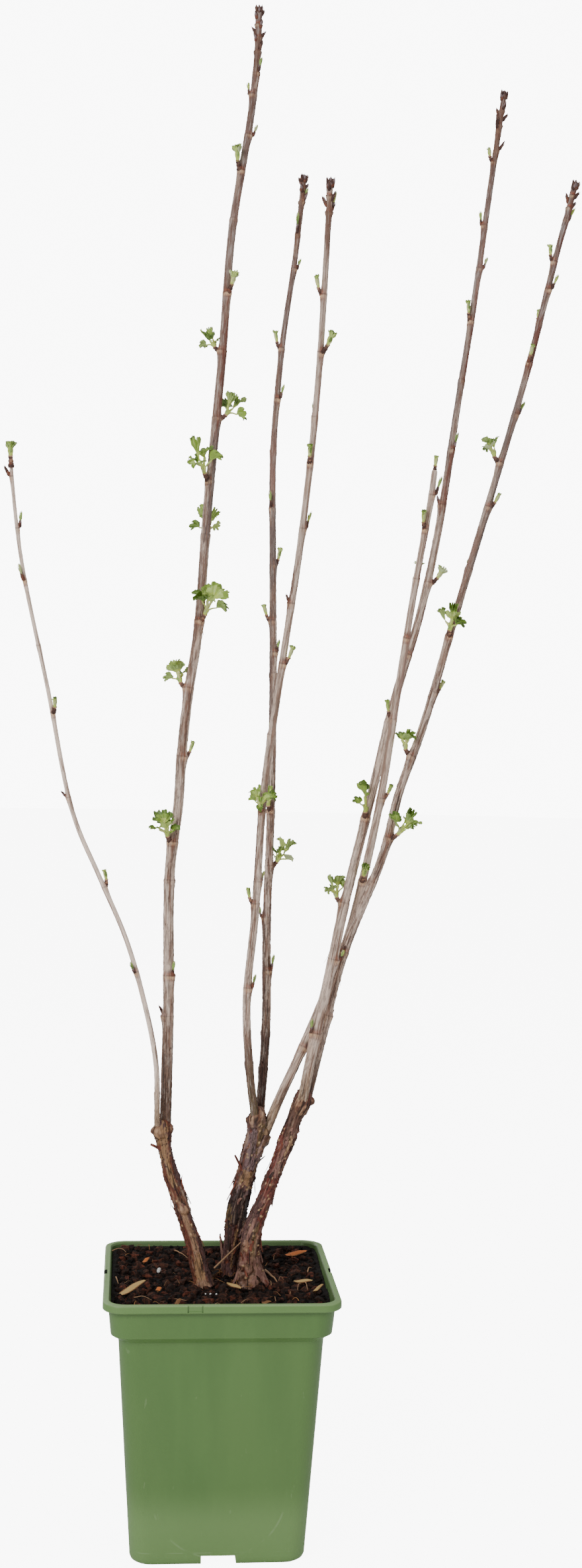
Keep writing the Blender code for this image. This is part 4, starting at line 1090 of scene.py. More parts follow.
def scaly_bud(bm, start, axis, length, radius, rng, tones, count=8, flare=0.2 * MM):
    """A bud of overlapping scales round a core. Tones are the slots of its lower and its upper scales."""
    lower, upper = tones
    core = [(start, 0.7 * radius), (start + 0.35 * length * axis, 0.85 * radius),
            (start + 0.7 * length * axis, 0.55 * radius), (start + 0.94 * length * axis, 0.12 * radius)]
    tapering_tube(bm, core, 7, lower[0])
    first = rng.uniform(0, 2 * math.pi)
    for i in range(count):
        share = i / max(count - 1, 1)
        turn = first + i * math.radians(137)
        foot = start + 0.42 * share * length * axis
        reach = length * (0.42 + 0.16 * share) * rng.uniform(0.9, 1.1)
        tone = rng.choice(upper if share > 0.5 else lower)
        scale_leaf(bm, foot, axis, turn, reach, radius * (1.12 - 0.35 * share), 1.15, flare, tone)


def lobe_columns(half_vein):
    """Places from 0 to 1 across a lobe: evenly spaced to each side of the vein's two edges."""
    step = (0.5 - half_vein) / VEIN_COLUMN
    left = [i * step for i in range(VEIN_COLUMN + 1)]
    return left + [1 - place for place in reversed(left[1:])]


def blade_reach(angle, ridge, notch):
    """How far a blade's edge lies from its foot, as a share of its length. The ridge is 1 between two lobes."""
    return (0.66 + 0.34 * math.cos(0.8 * angle)) * (1 - notch * ridge**4)


def leaf_blade(bm, foot, out, across, length, style, rng, slots):
    """A young currant leaf: toothed lobes pleated between their veins, folded along its midrib and drooping.

    Slots are those of its face, its vein and its underside.
    """
    look = BLADES[style]
    spread, fold, droop = (math.radians(look[key]) * rng.uniform(0.8, 1.2) for key in ("spread", "fold", "droop"))
    twist = math.radians(look["twist"]) * rng.uniform(-1, 1)
    across = Matrix.Rotation(twist, 3, out) @ across
    above = out.cross(across)
    lobes = 5 if length > 7 * MM else 3
    pitch = 2 * spread / lobes
    curl = rng.uniform(-0.08, 0.12)
    seed = rng.uniform(0, 50)
    rows = []
    for share in BLADE_RINGS:
        half_vein = min(0.16, VEIN_HALF * MM * (1 - 0.7 * share) / (share * length * pitch))
        places = [(lobe + place, tooth) for lobe in range(lobes)
                  for place, tooth in zip(lobe_columns(half_vein), LOBE_TEETH)] + [(lobes, LOBE_TEETH[0])]
        row = []
        for place, tooth in places:
            angle = place * pitch - spread
            ridge = abs(2 * (place % 1) - 1)
            edge = blade_reach(angle, ridge, look["notch"]) + (tooth if share == 1 else 0)
            x, y = share * length * edge * math.sin(angle), share * length * edge * math.cos(angle)
            here = Vector((x, y, 0)) / length
            crumple = noise.noise(2.3 * here + Vector((0, 0, seed))) + 0.6 * noise.noise(6.5 * here + Vector((0, 0, seed)))
            lift = look["pleat"] * share * length * pitch * (0.5 * ridge**0.8 - 0.25)
            lift += length * (curl * share**4 + 0.28 * crumple * share)
            sideways = x * math.cos(fold) - lift * math.sin(fold) * math.tanh(4 * x / length)
            lift = lift * math.cos(fold) + abs(x) * math.sin(fold)
            bend = droop * y / length
            middle = foot + length / droop * (math.sin(bend) * out - (1 - math.cos(bend)) * above)
            row.append(middle + sideways * across + lift * (math.sin(bend) * out + math.cos(bend) * above))
        rows.append(row)
    face, vein, underside = slots
    columns = len(LOBE_TEETH)

    def slot_of(row, column, below):
        if style in ("fan", "tip", "bud", "ruff") and row < PALE_ROWS:
            return PALE_BLADE
        if column % columns == VEIN_COLUMN:
            return vein
        if below:
            return underside
        return DEEPER[face] if row >= DARK_ROWS[style] else face

    closed_sheet(bm, rows, BLADE_THICKNESS * MM, slot_of)


def curved_path(start, corner, end, radii):
    """Points of a curve that leaves its start towards a corner and comes into its end from it, with radii in mm."""
    steps = len(radii) - 1
    path = []
    for k, radius in enumerate(radii):
        s = k / steps
        path.append(((1 - s) ** 2 * start + 2 * s * (1 - s) * corner + s**2 * end, radius * MM))
    return path


def small_buds(course, spec):
    """(start, direction, length, radius, kind) of each closed or green-tipped bud, and of those at the tip."""
    buds = []
    for height, side, kind, length in bud_places(spec):
        if kind not in ("bud", "tip"):
            continue
        centre, tangent, radius, outward = course.side(height, side)
        start = centre + (1.4 if kind == "tip" else 0.9) * radius * outward
        bud_radius = min(1.15 * MM, 0.1 * length + 0.3 * MM)
        lean = TIP_LEAN if kind == "tip" else BUD_LEAN
        buds.append((start, towards(tangent, outward, lean), length + 1.5 * MM, bud_radius, kind))
    for centre, tangent, radius, outward, share in cluster_places(course, spec):
        length = (10.0 - 2.8 * share) * MM
        direction = towards(tangent, outward, CLUSTER_LEAN)
        buds.append((centre + 0.6 * radius * outward, direction, length, 1.25 * MM, "bud"))
    if spec["cluster"][0]:
        top = course.axis[-1]
        tangent = (top - course.axis[-3]).normalized()
        buds.append((top - 2 * MM * tangent, tangent, 8.6 * MM, 1.6 * MM, "bud"))
        across = tangent.orthogonal().normalized()
        for i in range(5):
            outward = Matrix.Rotation(math.radians(72 * i + 20), 3, tangent) @ across
            start = top - (2.4 + 0.6 * (i % 2)) * MM * tangent + 1.5 * MM * outward
            buds.append((start, towards(tangent, outward, 11), (8.4 - 1.2 * (i % 2)) * MM, 1.25 * MM, "bud"))
    return buds


def cluster_places(course, spec):
    """(centre, tangent, radius, outward, share) of each bud crowded below a cane's tip, going up."""
    count, reach = spec["cluster"]
    places = []
    for i in range(count):
        height = course.axis[-1].z - (count - i) * reach * MM / count
        places.append((*course.side(height, spec["first_side"] + i * TURN), i / count))
    return places


def tuft_plans(courses):
    """One plan for each tuft: its name, stem and the centre of the space it keeps to."""
    plans = []
    for key, spec in CANES.items():
        course = courses[key]
        count = 0
        for height, side, kind, length in bud_places(spec):
            if kind not in TUFTS:
                continue
            count += 1
            centre, tangent, radius, outward = course.side(height, side)
            start = centre + (NODE_FLARE * radius + GAP) * outward
            direction = towards(tangent, outward, TUFTS[kind]["lean"])
            plans.append({"name": f"tuft_{key}_{count:02d}", "kind": kind, "length": length,
                          "start": start, "outward": outward, "direction": direction})
        if "end_tuft" in spec:
            tangent = (course.axis[-1] - course.axis[-3]).normalized()
            start = course.axis[-1] - 1.6 * MM * tangent
            kind, length = spec["end_tuft"]
            plans.append({"name": f"tuft_{key}_end", "kind": kind, "length": length * MM,
                          "start": start, "outward": tangent, "direction": tangent})
    for number, plan in enumerate(plans):
        plan["seed"] = number
        plan["middle"] = plan["start"] + 0.6 * plan["length"] * plan["direction"]
        plan["bend"] = plan["start"] + TUFTS[plan["kind"]]["off"] * MM * plan["outward"]
    return plans


def leaf_places(plan):
    """(root, direction, across, length, width) of each leaf of a tuft, by a seeded rule."""
    rule = TUFTS[plan["kind"]]
    rng = random.Random(plan["seed"])
    direction = plan["direction"]
    top = plan["bend"] + rule["stem"] * plan["length"] * direction
    across = direction.orthogonal().normalized()
    other = direction.cross(across)
    leaves = []
    first = rng.uniform(0, 360)
    for number, (count, lean, share, aspect) in enumerate(rule["rings"]):
        for i in range(count):
            turn = math.radians(first + 360 * (i + 0.5 * number) / count + rng.uniform(-18, 18))
            outward = math.cos(turn) * across + math.sin(turn) * other
            out = towards(direction, outward, lean + rng.uniform(-12, 12) * min(1, lean / 20))
            length = share * plan["length"] * rng.uniform(0.82, 1.12)
            root = top - (rule["sunk"] + 0.8 * number) * MM * direction
            if plan["kind"] != "leafy":
                root += 0.45 * rule["body"][-1] * MM * outward
            width = length * aspect * rng.uniform(0.85, 1.15)
            leaves.append((root, out, out.cross(outward).normalized(), length, width))
    return leaves


def spur_and_body(plan, rule, rng, scales, greens):
    """A tuft's brown scaly spur with its pale collar, and its pale body of sheaths that widens upwards."""
    direction, start, outward, bend, length = (plan[key] for key in ("direction", "start", "outward", "bend", "length"))
    collar = bend + rule["collar"] * length * direction
    root = start - 1.6 * MM * outward - 0.8 * MM * direction
    corner = start + 0.1 * MM * outward - 0.2 * MM * direction
    spur = curved_path(root, corner, collar, rule["spur"])
    tapering_tube(scales, spur, 9, 0)
    climb_length = (collar - root).length
    for i in range(11):
        s = (i + 0.5) / 11
        foot, radius = spur[min(int(3.6 * s), 3)]
        ahead = (spur[min(int(3.6 * s), 3) + 1][0] - foot).normalized()
        reach = (0.34 + 0.08 * s) * climb_length * rng.uniform(0.85, 1.15)
        tone = rng.choice((0, 4, 4, 5) if s < 0.75 else (0, 1, 4))
        scale_leaf(scales, foot, ahead, i * 2.4, reach, 0.86 * radius, 1.05, rng.uniform(0.3, 0.6) * MM, tone, 3.4)
    for i in range(5):
        scale_leaf(scales, collar - 0.9 * MM * direction, direction, 0.6 + 1.26 * i, rng.uniform(1.2, 2.0) * MM,
                   1.04 * rule["spur"][-1] * MM, 0.6, rng.uniform(0.0, 0.35) * MM, rng.choice((1, 3, 3)), 4)
    top = bend + rule["stem"] * length * direction
    body = [(collar + share * (top - collar), radius * MM)
            for share, radius in zip((-0.15, 0.35, 0.8, 1.05), rule["body"])]
    tapering_tube(greens, body, 9, 0)
    for i in range(rule["scales"]):
        s = i / rule["scales"]
        foot = collar + (0.62 * s - 0.1) * (top - collar)
        reach = rule["cover"] * length * rng.uniform(0.72, 1.0) * (1 - 0.25 * s)
        radius = (rule["body"][0] + s * (rule["body"][2] - rule["body"][0])) * MM
        tone = rng.choice((1, 0, 0) if s < 0.3 else (0, 5, 3) if s < 0.7 else (3, 4, 5))
        scale_leaf(greens, foot, direction, i * 2.4 + 0.8, reach, 0.94 * radius, 0.62,
                   rng.uniform(0.45, 0.75) * rule["body"][2] * MM, tone, 3.6)
    return top


def limb_tree(courses):
    """A tree of points inside all limbs and their buds, and the radius that each stands for."""
    points = []
    for key, course in courses.items():
        points += list(zip(course.axis, course.radii))
        for start, direction, length, radius, _ in small_buds(course, CANES[key]) if key in CANES else ():
            points += [(start + share * length * direction, radius) for share in (0.2, 0.5, 0.8, 1)]
    tree = KDTree(len(points))
    for i, (point, _) in enumerate(points):
        tree.insert(point, i)
    tree.balance()
    return tree, [radius for _, radius in points]


def keeps_clear(points, plan, plans, tree, radii):
    """Whether a leaf stays in its tuft's own space and off every limb."""
    reach = max(radii) + LIMB_CLEARANCE * MM
    for point in points:
        for _, index, distance in tree.find_range(point, reach):
            if distance < radii[index] * NODE_FLARE + LIMB_CLEARANCE * MM:
                return False
        own = (point - plan["middle"]).length
        for other in plans:
            if other is not plan and (point - other["middle"]).length < own + TUFT_CLEARANCE * MM:
                return False
    return True


def grow_tuft(plan, plans, tree, radii, scales, greens, blades):
    """A tuft's spur and body, stalks that part from it, and its leaves."""
    rng = random.Random(1000 + plan["seed"])
    rule = TUFTS[plan["kind"]]
    leafy = plan["kind"] == "leafy"
    direction = plan["direction"]
    top = spur_and_body(plan, rule, rng, scales, greens)
    for number, (root, out, across, length, width) in enumerate(leaf_places(plan)):
        tests = [root + share * length * out for share in (0.45, 0.75, 1)]
        if not keeps_clear(tests, plan, plans, tree, radii):
            continue
        upright = out.dot(direction) > 0.74
        if leafy:
            style = rng.choice(("ruff", "ruff", "tip")) if upright else rng.choice(("open", "folded", "folded"))
        else:
            style = rng.choice(("bud", "bud", "tip")) if plan["kind"] == "slim" else rng.choice(("fan", "tip"))
        sides = [root + 0.72 * length * out + turn * 0.6 * width * across for turn in (-1, 1)]
        if style in ("open", "ruff") and not keeps_clear(sides, plan, plans, tree, radii):
            style = "folded"
        stalk = {"open": 0.52, "folded": 0.48, "ruff": 0.46, "tip": 0.34}[style] if leafy else 0.04
        base = root + stalk * length * out
        broad = (1.5, 1.4, 1.3, 1.15, 0.9) if style in ("fan", "tip", "bud") else (1.3, 1.1, 0.9, 0.75, 0.65)
        broad = (1.1, 1.1, 1.15, 1.3, 1.5) if style == "ruff" else broad
        low = top - (0.62 if leafy else 0.35) * rule["stem"] * plan["length"] * direction
        corner = root + 0.35 * stalk * length * direction
        blade = (1 - stalk) * length
        stem_path = curved_path(low, corner, base, broad) + [(base + 0.16 * blade * out, 0.25 * MM)]
        tapering_tube(greens, stem_path, 6, 2 if style in ("open", "folded") else rng.choice((0, 1, 2)))
        face, vein, back = {"open": ((0, 1, 1), 3, (4, 4, 5)), "folded": ((1, 2, 2), 1, (4, 1, 2)),
                            "fan": ((0, 1, 1), 3, (0, 4, 5)), "ruff": ((0, 1, 1), 3, (0, 4, 1)), "tip": ((1, 1, 2), 0, (4, 4, 1)),
                            "bud": ((1, 1, 2), 0, (0, 1, 1))}[style]
        leaf_blade(blades, base, out, across, blade, style, rng, (rng.choice(face), vein, rng.choice(back)))


def green_tip(scales, greens, bud, rng):
    """A slender bud that is just opening: brown scales below and the closed green tip of its leaves above."""
    start, direction, length, radius, _ = bud
    scaly_bud(scales, start - 0.6 * MM * direction, direction, 0.68 * length, 0.9 * radius, rng, ((0, 4, 5), (0, 2, 4)), 8, 0.1 * MM)
    core = [(start + 0.25 * length * direction, 0.8 * radius), (start + 0.62 * length * direction, 0.8 * radius),
            (start + 0.84 * length * direction, 0.5 * radius), (start + 0.98 * length * direction, 0.15 * radius)]
    tapering_tube(greens, core, 7, 1)
    for i in range(4):
        foot = start + (0.38 + 0.05 * i) * length * direction
        reach = length * rng.uniform(0.48, 0.56)
        scale_leaf(greens, foot, direction, i * 2.4, reach, radius * 0.92, 0.9, rng.uniform(-0.1, 0.25) * MM,
                   rng.choice((0, 3, 3, 4, 5)), 2.4)


def peeling_strip(bm, course, strip, rng):
    """A strip of loose bark, held at one end and curling away from its limb at the other."""
    height, side, length, width, lift, slot = strip
    rows = []
    for r in range(11):
        s = r / 10
        turn = side + 9 * math.sin(3 * s + height)
        centre, tangent, radius, outward = course.side((height + s * length) * MM, turn)
        edge = tangent.cross(outward)
        taper = 0.35 + 0.65 * math.sin(math.pi * (0.12 + 0.78 * s)) ** 0.7
        half = 0.5 * width * MM * taper * rng.uniform(0.82, 1.15)
        away = radius * 1.03 - 0.3 * MM + lift * MM * s**1.8
        row = []
        for c in range(7):
            t = (c - 3) / 3
            ragged = 0.12 * half * rng.uniform(-1, 1)
            row.append(centre + (away - 0.45 * half * t * t + ragged) * outward + half * t * edge)
        rows.append(row)
    closed_sheet(bm, rows, min(0.4, 0.35 * width) * MM, slot)


def square_ring(half, corner, height, bulge=0.0):
    """Points of a square with round corners, at a height in mm, its sides swelling by a bulge."""
    points = []
    for quarter in range(4):
        middle = math.pi / 4 + quarter * math.pi / 2
        centre = Vector((math.copysign(half - corner, math.cos(middle)), math.copysign(half - corner, math.sin(middle)), 0))
        for step in range(CORNER_STEPS + 1):
            angle = middle - math.pi / 4 + math.pi / 2 * step / CORNER_STEPS
            points.append(centre + corner * Vector((math.cos(angle), math.sin(angle), 0)))
        turn = Matrix.Rotation(quarter * math.pi / 2, 3, "Z")
        for step in range(1, SIDE_STEPS):
            share = 2 * step / SIDE_STEPS - 1
            swell = bulge * math.cos(0.5 * math.pi * share)
            points.append(turn @ Vector((-share * (half - corner), half + swell, 0)))
    return [Vector((point.x, point.y, height)) * MM for point in points]


def loft_object(name, rings, materials=()):
    bm = bmesh.new()
    layers = [[bm.verts.new(point) for point in ring] for ring in rings]
    for low, high in zip(layers, layers[1:]):
        for i in range(len(low)):
            j = (i + 1) % len(low)
            bm.faces.new((low[i], low[j], high[j], high[i]))
    bm.faces.new(layers[0][::-1])
    bm.faces.new(layers[-1])
    return finish_mesh(name, bm, materials)


def body_half(height):
    """Half the pot's outer width at a height on its tapering body."""
    return BODY_FOOT_HALF + (BODY_TOP_HALF - BODY_FOOT_HALF) * height / BODY_TOP_HEIGHT


def wall_bulge(height):
    """How far the pot's side walls swell at a height, most at a third of the way up."""
    share = min(max(height / BODY_TOP_HEIGHT, 0), 1)
    return WALL_BULGE * math.sin(math.pi * share**0.7) ** 2


def cutter_box(name, size, centre, turn, slant=0.0):
    """A box that cuts, in mm, turned about the pot's own axis, its foot wider by a slant on one side."""
    bm = bmesh.new()
    bmesh.ops.create_cube(bm, size=1)
    for vert in bm.verts:
        if vert.co.z < 0 and vert.co.x > 0:
            vert.co.x += slant / size[0]
    bmesh.ops.scale(bm, verts=bm.verts, vec=Vector(size) * MM)
    bmesh.ops.translate(bm, verts=bm.verts, vec=Vector(centre) * MM)
    bmesh.ops.rotate(bm, verts=bm.verts, matrix=Matrix.Rotation(math.radians(turn), 3, "Z"))
    return finish_mesh(name, bm, [])


def baked(obj, tools):
    """The object's mesh with its cuts made, in place of its modifiers and tools."""
    mesh = bpy.data.meshes.new_from_object(obj.evaluated_get(bpy.context.evaluated_depsgraph_get()))
    obj.modifiers.clear()
    obj.data = mesh
    for tool in tools:
        bpy.data.objects.remove(tool, do_unlink=True)
    bm = bmesh.new()
    bm.from_mesh(mesh)
    bmesh.ops.remove_doubles(bm, verts=bm.verts, dist=0.00002)
    bmesh.ops.dissolve_degenerate(bm, edges=bm.edges, dist=0.00002)
    bm.to_mesh(mesh)
    bm.free()
    mesh.shade_smooth()
    mesh.set_sharp_from_angle(angle=math.radians(28))


def outer_profile():
    """(half, height, bulge) up the pot's outer face, with a rounded foot, step and lip."""
    rows = [(BASE_HALF - 1, 0.0, 0), (BASE_HALF + 1.0, 0.6, 0), (BASE_HALF + 2.2, 1.7, 0), (body_half(4) - 0.1, 4.0, 0)]
    for i in range(24):
        height = 6 + (BODY_TOP_HEIGHT - 1.5 - 6) * i / 23
        rows.append((body_half(height), height, wall_bulge(height)))
    rows += [(BODY_TOP_HALF + 0.2, BODY_TOP_HEIGHT, 0), (BODY_TOP_HALF + 1.2, BODY_TOP_HEIGHT + 1.2, 0),
             (COLLAR_FOOT_HALF - 1.2, COLLAR_FOOT_HEIGHT - 1.2, 0), (COLLAR_FOOT_HALF - 0.2, COLLAR_FOOT_HEIGHT - 0.3, 0),
             (COLLAR_FOOT_HALF, COLLAR_FOOT_HEIGHT + 1, 0), (COLLAR_TOP_HALF, POT_HEIGHT - LIP_HEIGHT - 0.2, 0),
             (RIM_HALF - 0.6, POT_HEIGHT - LIP_HEIGHT, 0), (RIM_HALF, POT_HEIGHT - LIP_HEIGHT + 0.7, 0),
             (RIM_HALF, POT_HEIGHT - 1.6, 0), (RIM_HALF - 0.4, POT_HEIGHT - 0.5, 0), (RIM_HALF - 1.3, POT_HEIGHT, 0)]
    return rows


def inner_profile():
    """(half, height, bulge) up the pot's inner face, opening beyond the rim."""
    return [(body_half(WALL) - WALL, WALL, 0), (body_half(BODY_TOP_HEIGHT) - WALL, BODY_TOP_HEIGHT + WALL, 0),
            (COLLAR_FOOT_HALF - WALL, COLLAR_FOOT_HEIGHT + WALL, 0), (RIM_HALF - LIP_WIDTH - 0.8, POT_HEIGHT - 1.5, 0),
            (RIM_HALF - LIP_WIDTH - 0.1, POT_HEIGHT - 0.3, 0), (RIM_HALF - LIP_WIDTH + 0.5, POT_HEIGHT + 0.2, 0),
            (RIM_HALF - LIP_WIDTH + 0.5, POT_HEIGHT + 4, 0)]


def make_pot(plastic):
    """The moulded pot: rounded lip with its pockets, chamfered collar, swelling walls and notched foot."""
    pot = loft_object("pot_shell", [square_ring(half, CORNER_RADIUS, height, bulge)
                                    for half, height, bulge in outer_profile()], [plastic])
    tools = [loft_object("pot_inside", [square_ring(half, CORNER_RADIUS - WALL, height, bulge)
                                        for half, height, bulge in inner_profile()])]
    fold_size = (CHANNEL_WIDTH + 2 * WALL, 2 * (CHANNEL_DEPTH + WALL), 2 * (CHANNEL_HEIGHT + WALL))
    folds = [cutter_box(f"fold_{side}", fold_size, (0, -BODY_FOOT_HALF, 0), 90 * side, CHANNEL_SLANT)
             for side in range(4)]
    for fold in folds:
        keep = tools[0].modifiers.new("fold", "BOOLEAN")
        keep.operation = "DIFFERENCE"
        keep.object = fold
    # Painted shade: the lip's pockets are lined with near-black green so they look deep and shadowed.
    pocket_shade, _, shader = new_material("painted shade in lip pockets", 0.8)
    shader.inputs["Base Color"].default_value = srgb(34, 44, 26)
    for side in range(4):
        channel = (CHANNEL_WIDTH, 2 * CHANNEL_DEPTH, 2 * CHANNEL_HEIGHT)
        tools.append(cutter_box(f"channel_{side}", channel, (0, -BODY_FOOT_HALF, 0), 90 * side, CHANNEL_SLANT))
        offset = FRONT_TAB_OFFSET if side % 2 == 0 else 0
        if side % 2:
            pocket = cutter_box(f"pocket_{side}", POCKET, (0, -RIM_HALF, POT_HEIGHT), 90 * side)
            pocket.data.materials.append(pocket_shade)
            tools.append(pocket)
            continue
        recess = (SLOT_SPACING, 2 * TAB_RECESS, 2 * LIP_HEIGHT - 2.4)
        tools.append(cutter_box(f"tab_{side}", recess, (offset, -RIM_HALF, POT_HEIGHT + 0.5), 90 * side))
        for edge in (-1, 1):
            slot = (SLOT_WIDTH, 2 * SLOT_DEPTH, 2 * LIP_HEIGHT - 2)
            place = (offset + edge * SLOT_SPACING / 2, -RIM_HALF, POT_HEIGHT)
            tools.append(cutter_box(f"slot_{side}_{edge}", slot, place, 90 * side))
    for tool in tools:
        cut = pot.modifiers.new("cut", "BOOLEAN")
        cut.operation = "DIFFERENCE"
        cut.material_mode = "TRANSFER"
        cut.object = tool
    baked(pot, tools + folds)
    return pot


def soil_surface(name, half, thickness, material):
    """The compost's lumpy top, a closed slab whose edge follows the pot's inner wall."""
    steps = 90
    rows = []
    for i in range(steps + 1):
        row = []
        for j in range(steps + 1):
            x, y = rounded_place((2 * i / steps - 1) * half, (2 * j / steps - 1) * half, half, SOIL_CORNER)
            row.append(Vector((x, y, soil_height(x, y))) * MM)
        rows.append(row)
    bm = bmesh.new()
    closed_sheet(bm, rows, thickness * MM, 0)
    for vert in bm.verts:
        vert.co.xy = within_square(vert.co.x, vert.co.y, half * MM, SOIL_CORNER * MM)
    return finish_mesh(name, bm, [material])


def crumb_shape(name, seed, size):
    """A worn lump of bark with rounded faces."""
    rng = random.Random(seed)
    bm = bmesh.new()
    bmesh.ops.create_icosphere(bm, subdivisions=2, radius=0.5 * MM)
    for vert in bm.verts:
        ray = vert.co.normalized()
        swell = 1 + 0.42 * noise.noise(1.6 * ray + Vector((seed, 0, 0))) + 0.16 * noise.noise(4 * ray + Vector((0, seed, 0)))
        blunt = [math.copysign(abs(value) ** 0.8, value) * 0.5 * MM for value in ray]
        vert.co = Vector([value * swell * share for value, share in zip(blunt, size)]) * rng.uniform(0.94, 1.06)
    crumb = finish_mesh(name, bm, [], smooth_angle=34)
    bpy.context.scene.collection.objects.unlink(crumb)
    return crumb


def scatter_tree():
    """Geometry nodes that scatter turned copies of a collection's shapes over a surface."""
    tree = bpy.data.node_groups.new("scatter crumbs", "GeometryNodeTree")
    sockets = [("Ground", "NodeSocketGeometry"), ("Crumbs", "NodeSocketCollection"), ("Spacing", "NodeSocketFloat"),
               ("Density", "NodeSocketFloat"), ("Smallest", "NodeSocketFloat"), ("Largest", "NodeSocketFloat"),
               ("Tilt", "NodeSocketFloat"), ("Seed", "NodeSocketInt"), ("Finish", "NodeSocketMaterial")]
    for name, kind in sockets:
        tree.interface.new_socket(name, in_out="INPUT", socket_type=kind)
    tree.interface.new_socket("Crumbs", in_out="OUTPUT", socket_type="NodeSocketGeometry")
    given, result = tree.nodes.new("NodeGroupInput"), tree.nodes.new("NodeGroupOutput")
    spread = tree.nodes.new("GeometryNodeDistributePointsOnFaces")
    spread.distribute_method = "POISSON"
    shapes = tree.nodes.new("GeometryNodeCollectionInfo")
    shapes.inputs["Separate Children"].default_value = True
    shapes.inputs["Reset Children"].default_value = True
    place = tree.nodes.new("GeometryNodeInstanceOnPoints")
    place.inputs["Pick Instance"].default_value = True
    turn = tree.nodes.new("FunctionNodeRandomValue")
    turn.data_type = "FLOAT_VECTOR"
    limits = tree.nodes.new("ShaderNodeCombineXYZ")
    lowest = tree.nodes.new("ShaderNodeVectorMath")
    lowest.operation = "SCALE"
    lowest.inputs["Scale"].default_value = -1
    limits.inputs["Z"].default_value = math.pi
    size = tree.nodes.new("FunctionNodeRandomValue")
    size.data_type = "FLOAT"
    whole = tree.nodes.new("GeometryNodeRealizeInstances")
    paint = tree.nodes.new("GeometryNodeSetMaterial")
    link = tree.links.new
    link(given.outputs["Ground"], spread.inputs["Mesh"])
    link(given.outputs["Spacing"], spread.inputs["Distance Min"])
    link(given.outputs["Density"], spread.inputs["Density Max"])
    link(given.outputs["Seed"], spread.inputs["Seed"])
    link(given.outputs["Crumbs"], shapes.inputs["Collection"])
    link(spread.outputs["Points"], place.inputs["Points"])
    link(shapes.outputs["Instances"], place.inputs["Instance"])
    for axis in "XY":
        link(given.outputs["Tilt"], limits.inputs[axis])
    link(limits.outputs[0], lowest.inputs[0])
    link(lowest.outputs[0], turn.inputs["Min"])
    link(limits.outputs[0], turn.inputs["Max"])
    link(turn.outputs["Value"], place.inputs["Rotation"])
    link(given.outputs["Smallest"], size.inputs[2])
    link(given.outputs["Largest"], size.inputs[3])
    link(given.outputs["Seed"], size.inputs["Seed"])
    link(size.outputs[1], place.inputs["Scale"])
    link(place.outputs["Instances"], whole.inputs["Geometry"])
    link(whole.outputs["Geometry"], paint.inputs["Geometry"])
    link(given.outputs["Finish"], paint.inputs["Material"])
    link(paint.outputs["Geometry"], result.inputs["Crumbs"])
    return tree


def scattered(name, ground, tree, **values):
    """A plain mesh of what the tree scatters over this ground."""
    holder = bpy.data.objects.new(name, ground.data)
    bpy.context.scene.collection.objects.link(holder)
    modifier = holder.modifiers.new("scatter", "NODES")
    modifier.node_group = tree
    for socket in tree.interface.items_tree:
        if socket.in_out == "INPUT" and socket.name in values:
            modifier[socket.identifier] = values[socket.name]
    holder.update_tag()
    mesh = bpy.data.meshes.new_from_object(holder.evaluated_get(bpy.context.evaluated_depsgraph_get()))
    holder.modifiers.clear()
    bpy.data.objects.remove(holder, do_unlink=True)
    mesh.name = name
    obj = bpy.data.objects.new(name, mesh)
    bpy.context.scene.collection.objects.link(obj)
    return obj


def soil_height(x, y):
    lumps = 2.0 * noise.fractal(Vector((x / 16, y / 16, 3.0)), 1.0, 2.0, 3)
    mound = 4.6 * climb(y, -30, 88) ** 1.3 + 3.0 * climb(-x, 20, 88) ** 1.3 * climb(y, -80, 20)
    banked = 4.0 * climb(max(abs(x), y), 58, 88) * climb(y, -84, -40)
    return SOIL_HEIGHT + min(lumps + mound + banked, 8.4)


def make_soil(blotches):
    """Bark compost: a lumpy bed, chunks and crumbs of bark in four browns, and what lies on them."""
    black = compost(blotches, "dark compost", srgb(7, 4, 3), srgb(25, 15, 11))
    umber = compost(blotches, "dark bark chunks", srgb(19, 11, 8), srgb(49, 29, 21))
    brown = compost(blotches, "brown bark chunks", srgb(34, 20, 14), srgb(76, 45, 33))
    red = compost(blotches, "red bark chunks", srgb(52, 25, 18), srgb(98, 52, 37))
    bed = soil_surface("soil_top", 88.3, SOIL_DEPTH, black)
    middle = soil_surface("middle", 80.5, 0.5, black)
    edge = soil_surface("edge", 84.3, 0.5, black)
    chunks, crumbs = bpy.data.collections.new("chunks"), bpy.data.collections.new("crumbs")
    for i, size in enumerate([(11, 8, 6.5), (9.5, 8.5, 7), (13, 8, 5.5), (8, 7.5, 6.5), (12, 9.5, 5.5), (13.5, 5.5, 5)]):
        chunks.objects.link(crumb_shape(f"chunk_{i}", i, size))
    for i, size in enumerate([(5.5, 4.4, 3.6), (4.6, 4.2, 3.4), (7, 3.2, 2.8), (4, 3.4, 3)]):
        crumbs.objects.link(crumb_shape(f"crumb_{i}", 10 + i, size))
    tree = scatter_tree()
    large = {"Crumbs": chunks, "Smallest": 0.6, "Largest": 1.05, "Tilt": 0.7}
    small = {"Crumbs": crumbs, "Smallest": 0.5, "Largest": 1.2, "Tilt": 1.2}
    pieces = [bed,
              scattered("crumbs_dark", edge, tree, Spacing=0.0050, Density=90000.0, Seed=3, Finish=black, **small),
              scattered("crumbs_brown", edge, tree, Spacing=0.0080, Density=30000.0, Seed=8, Finish=umber, **small),
              scattered("chunks_dark", middle, tree, Spacing=0.0105, Density=30000.0, Seed=9, Finish=umber, **large),
              scattered("chunks_brown", middle, tree, Spacing=0.0105, Density=30000.0, Seed=4, Finish=brown, **large),
              scattered("chunks_red", middle, tree, Spacing=0.0175, Density=20000.0, Seed=6, Finish=red, **large)]
    for ground in (middle, edge):
        bpy.data.objects.remove(ground, do_unlink=True)
    pieces.append(make_litter())
    return pieces


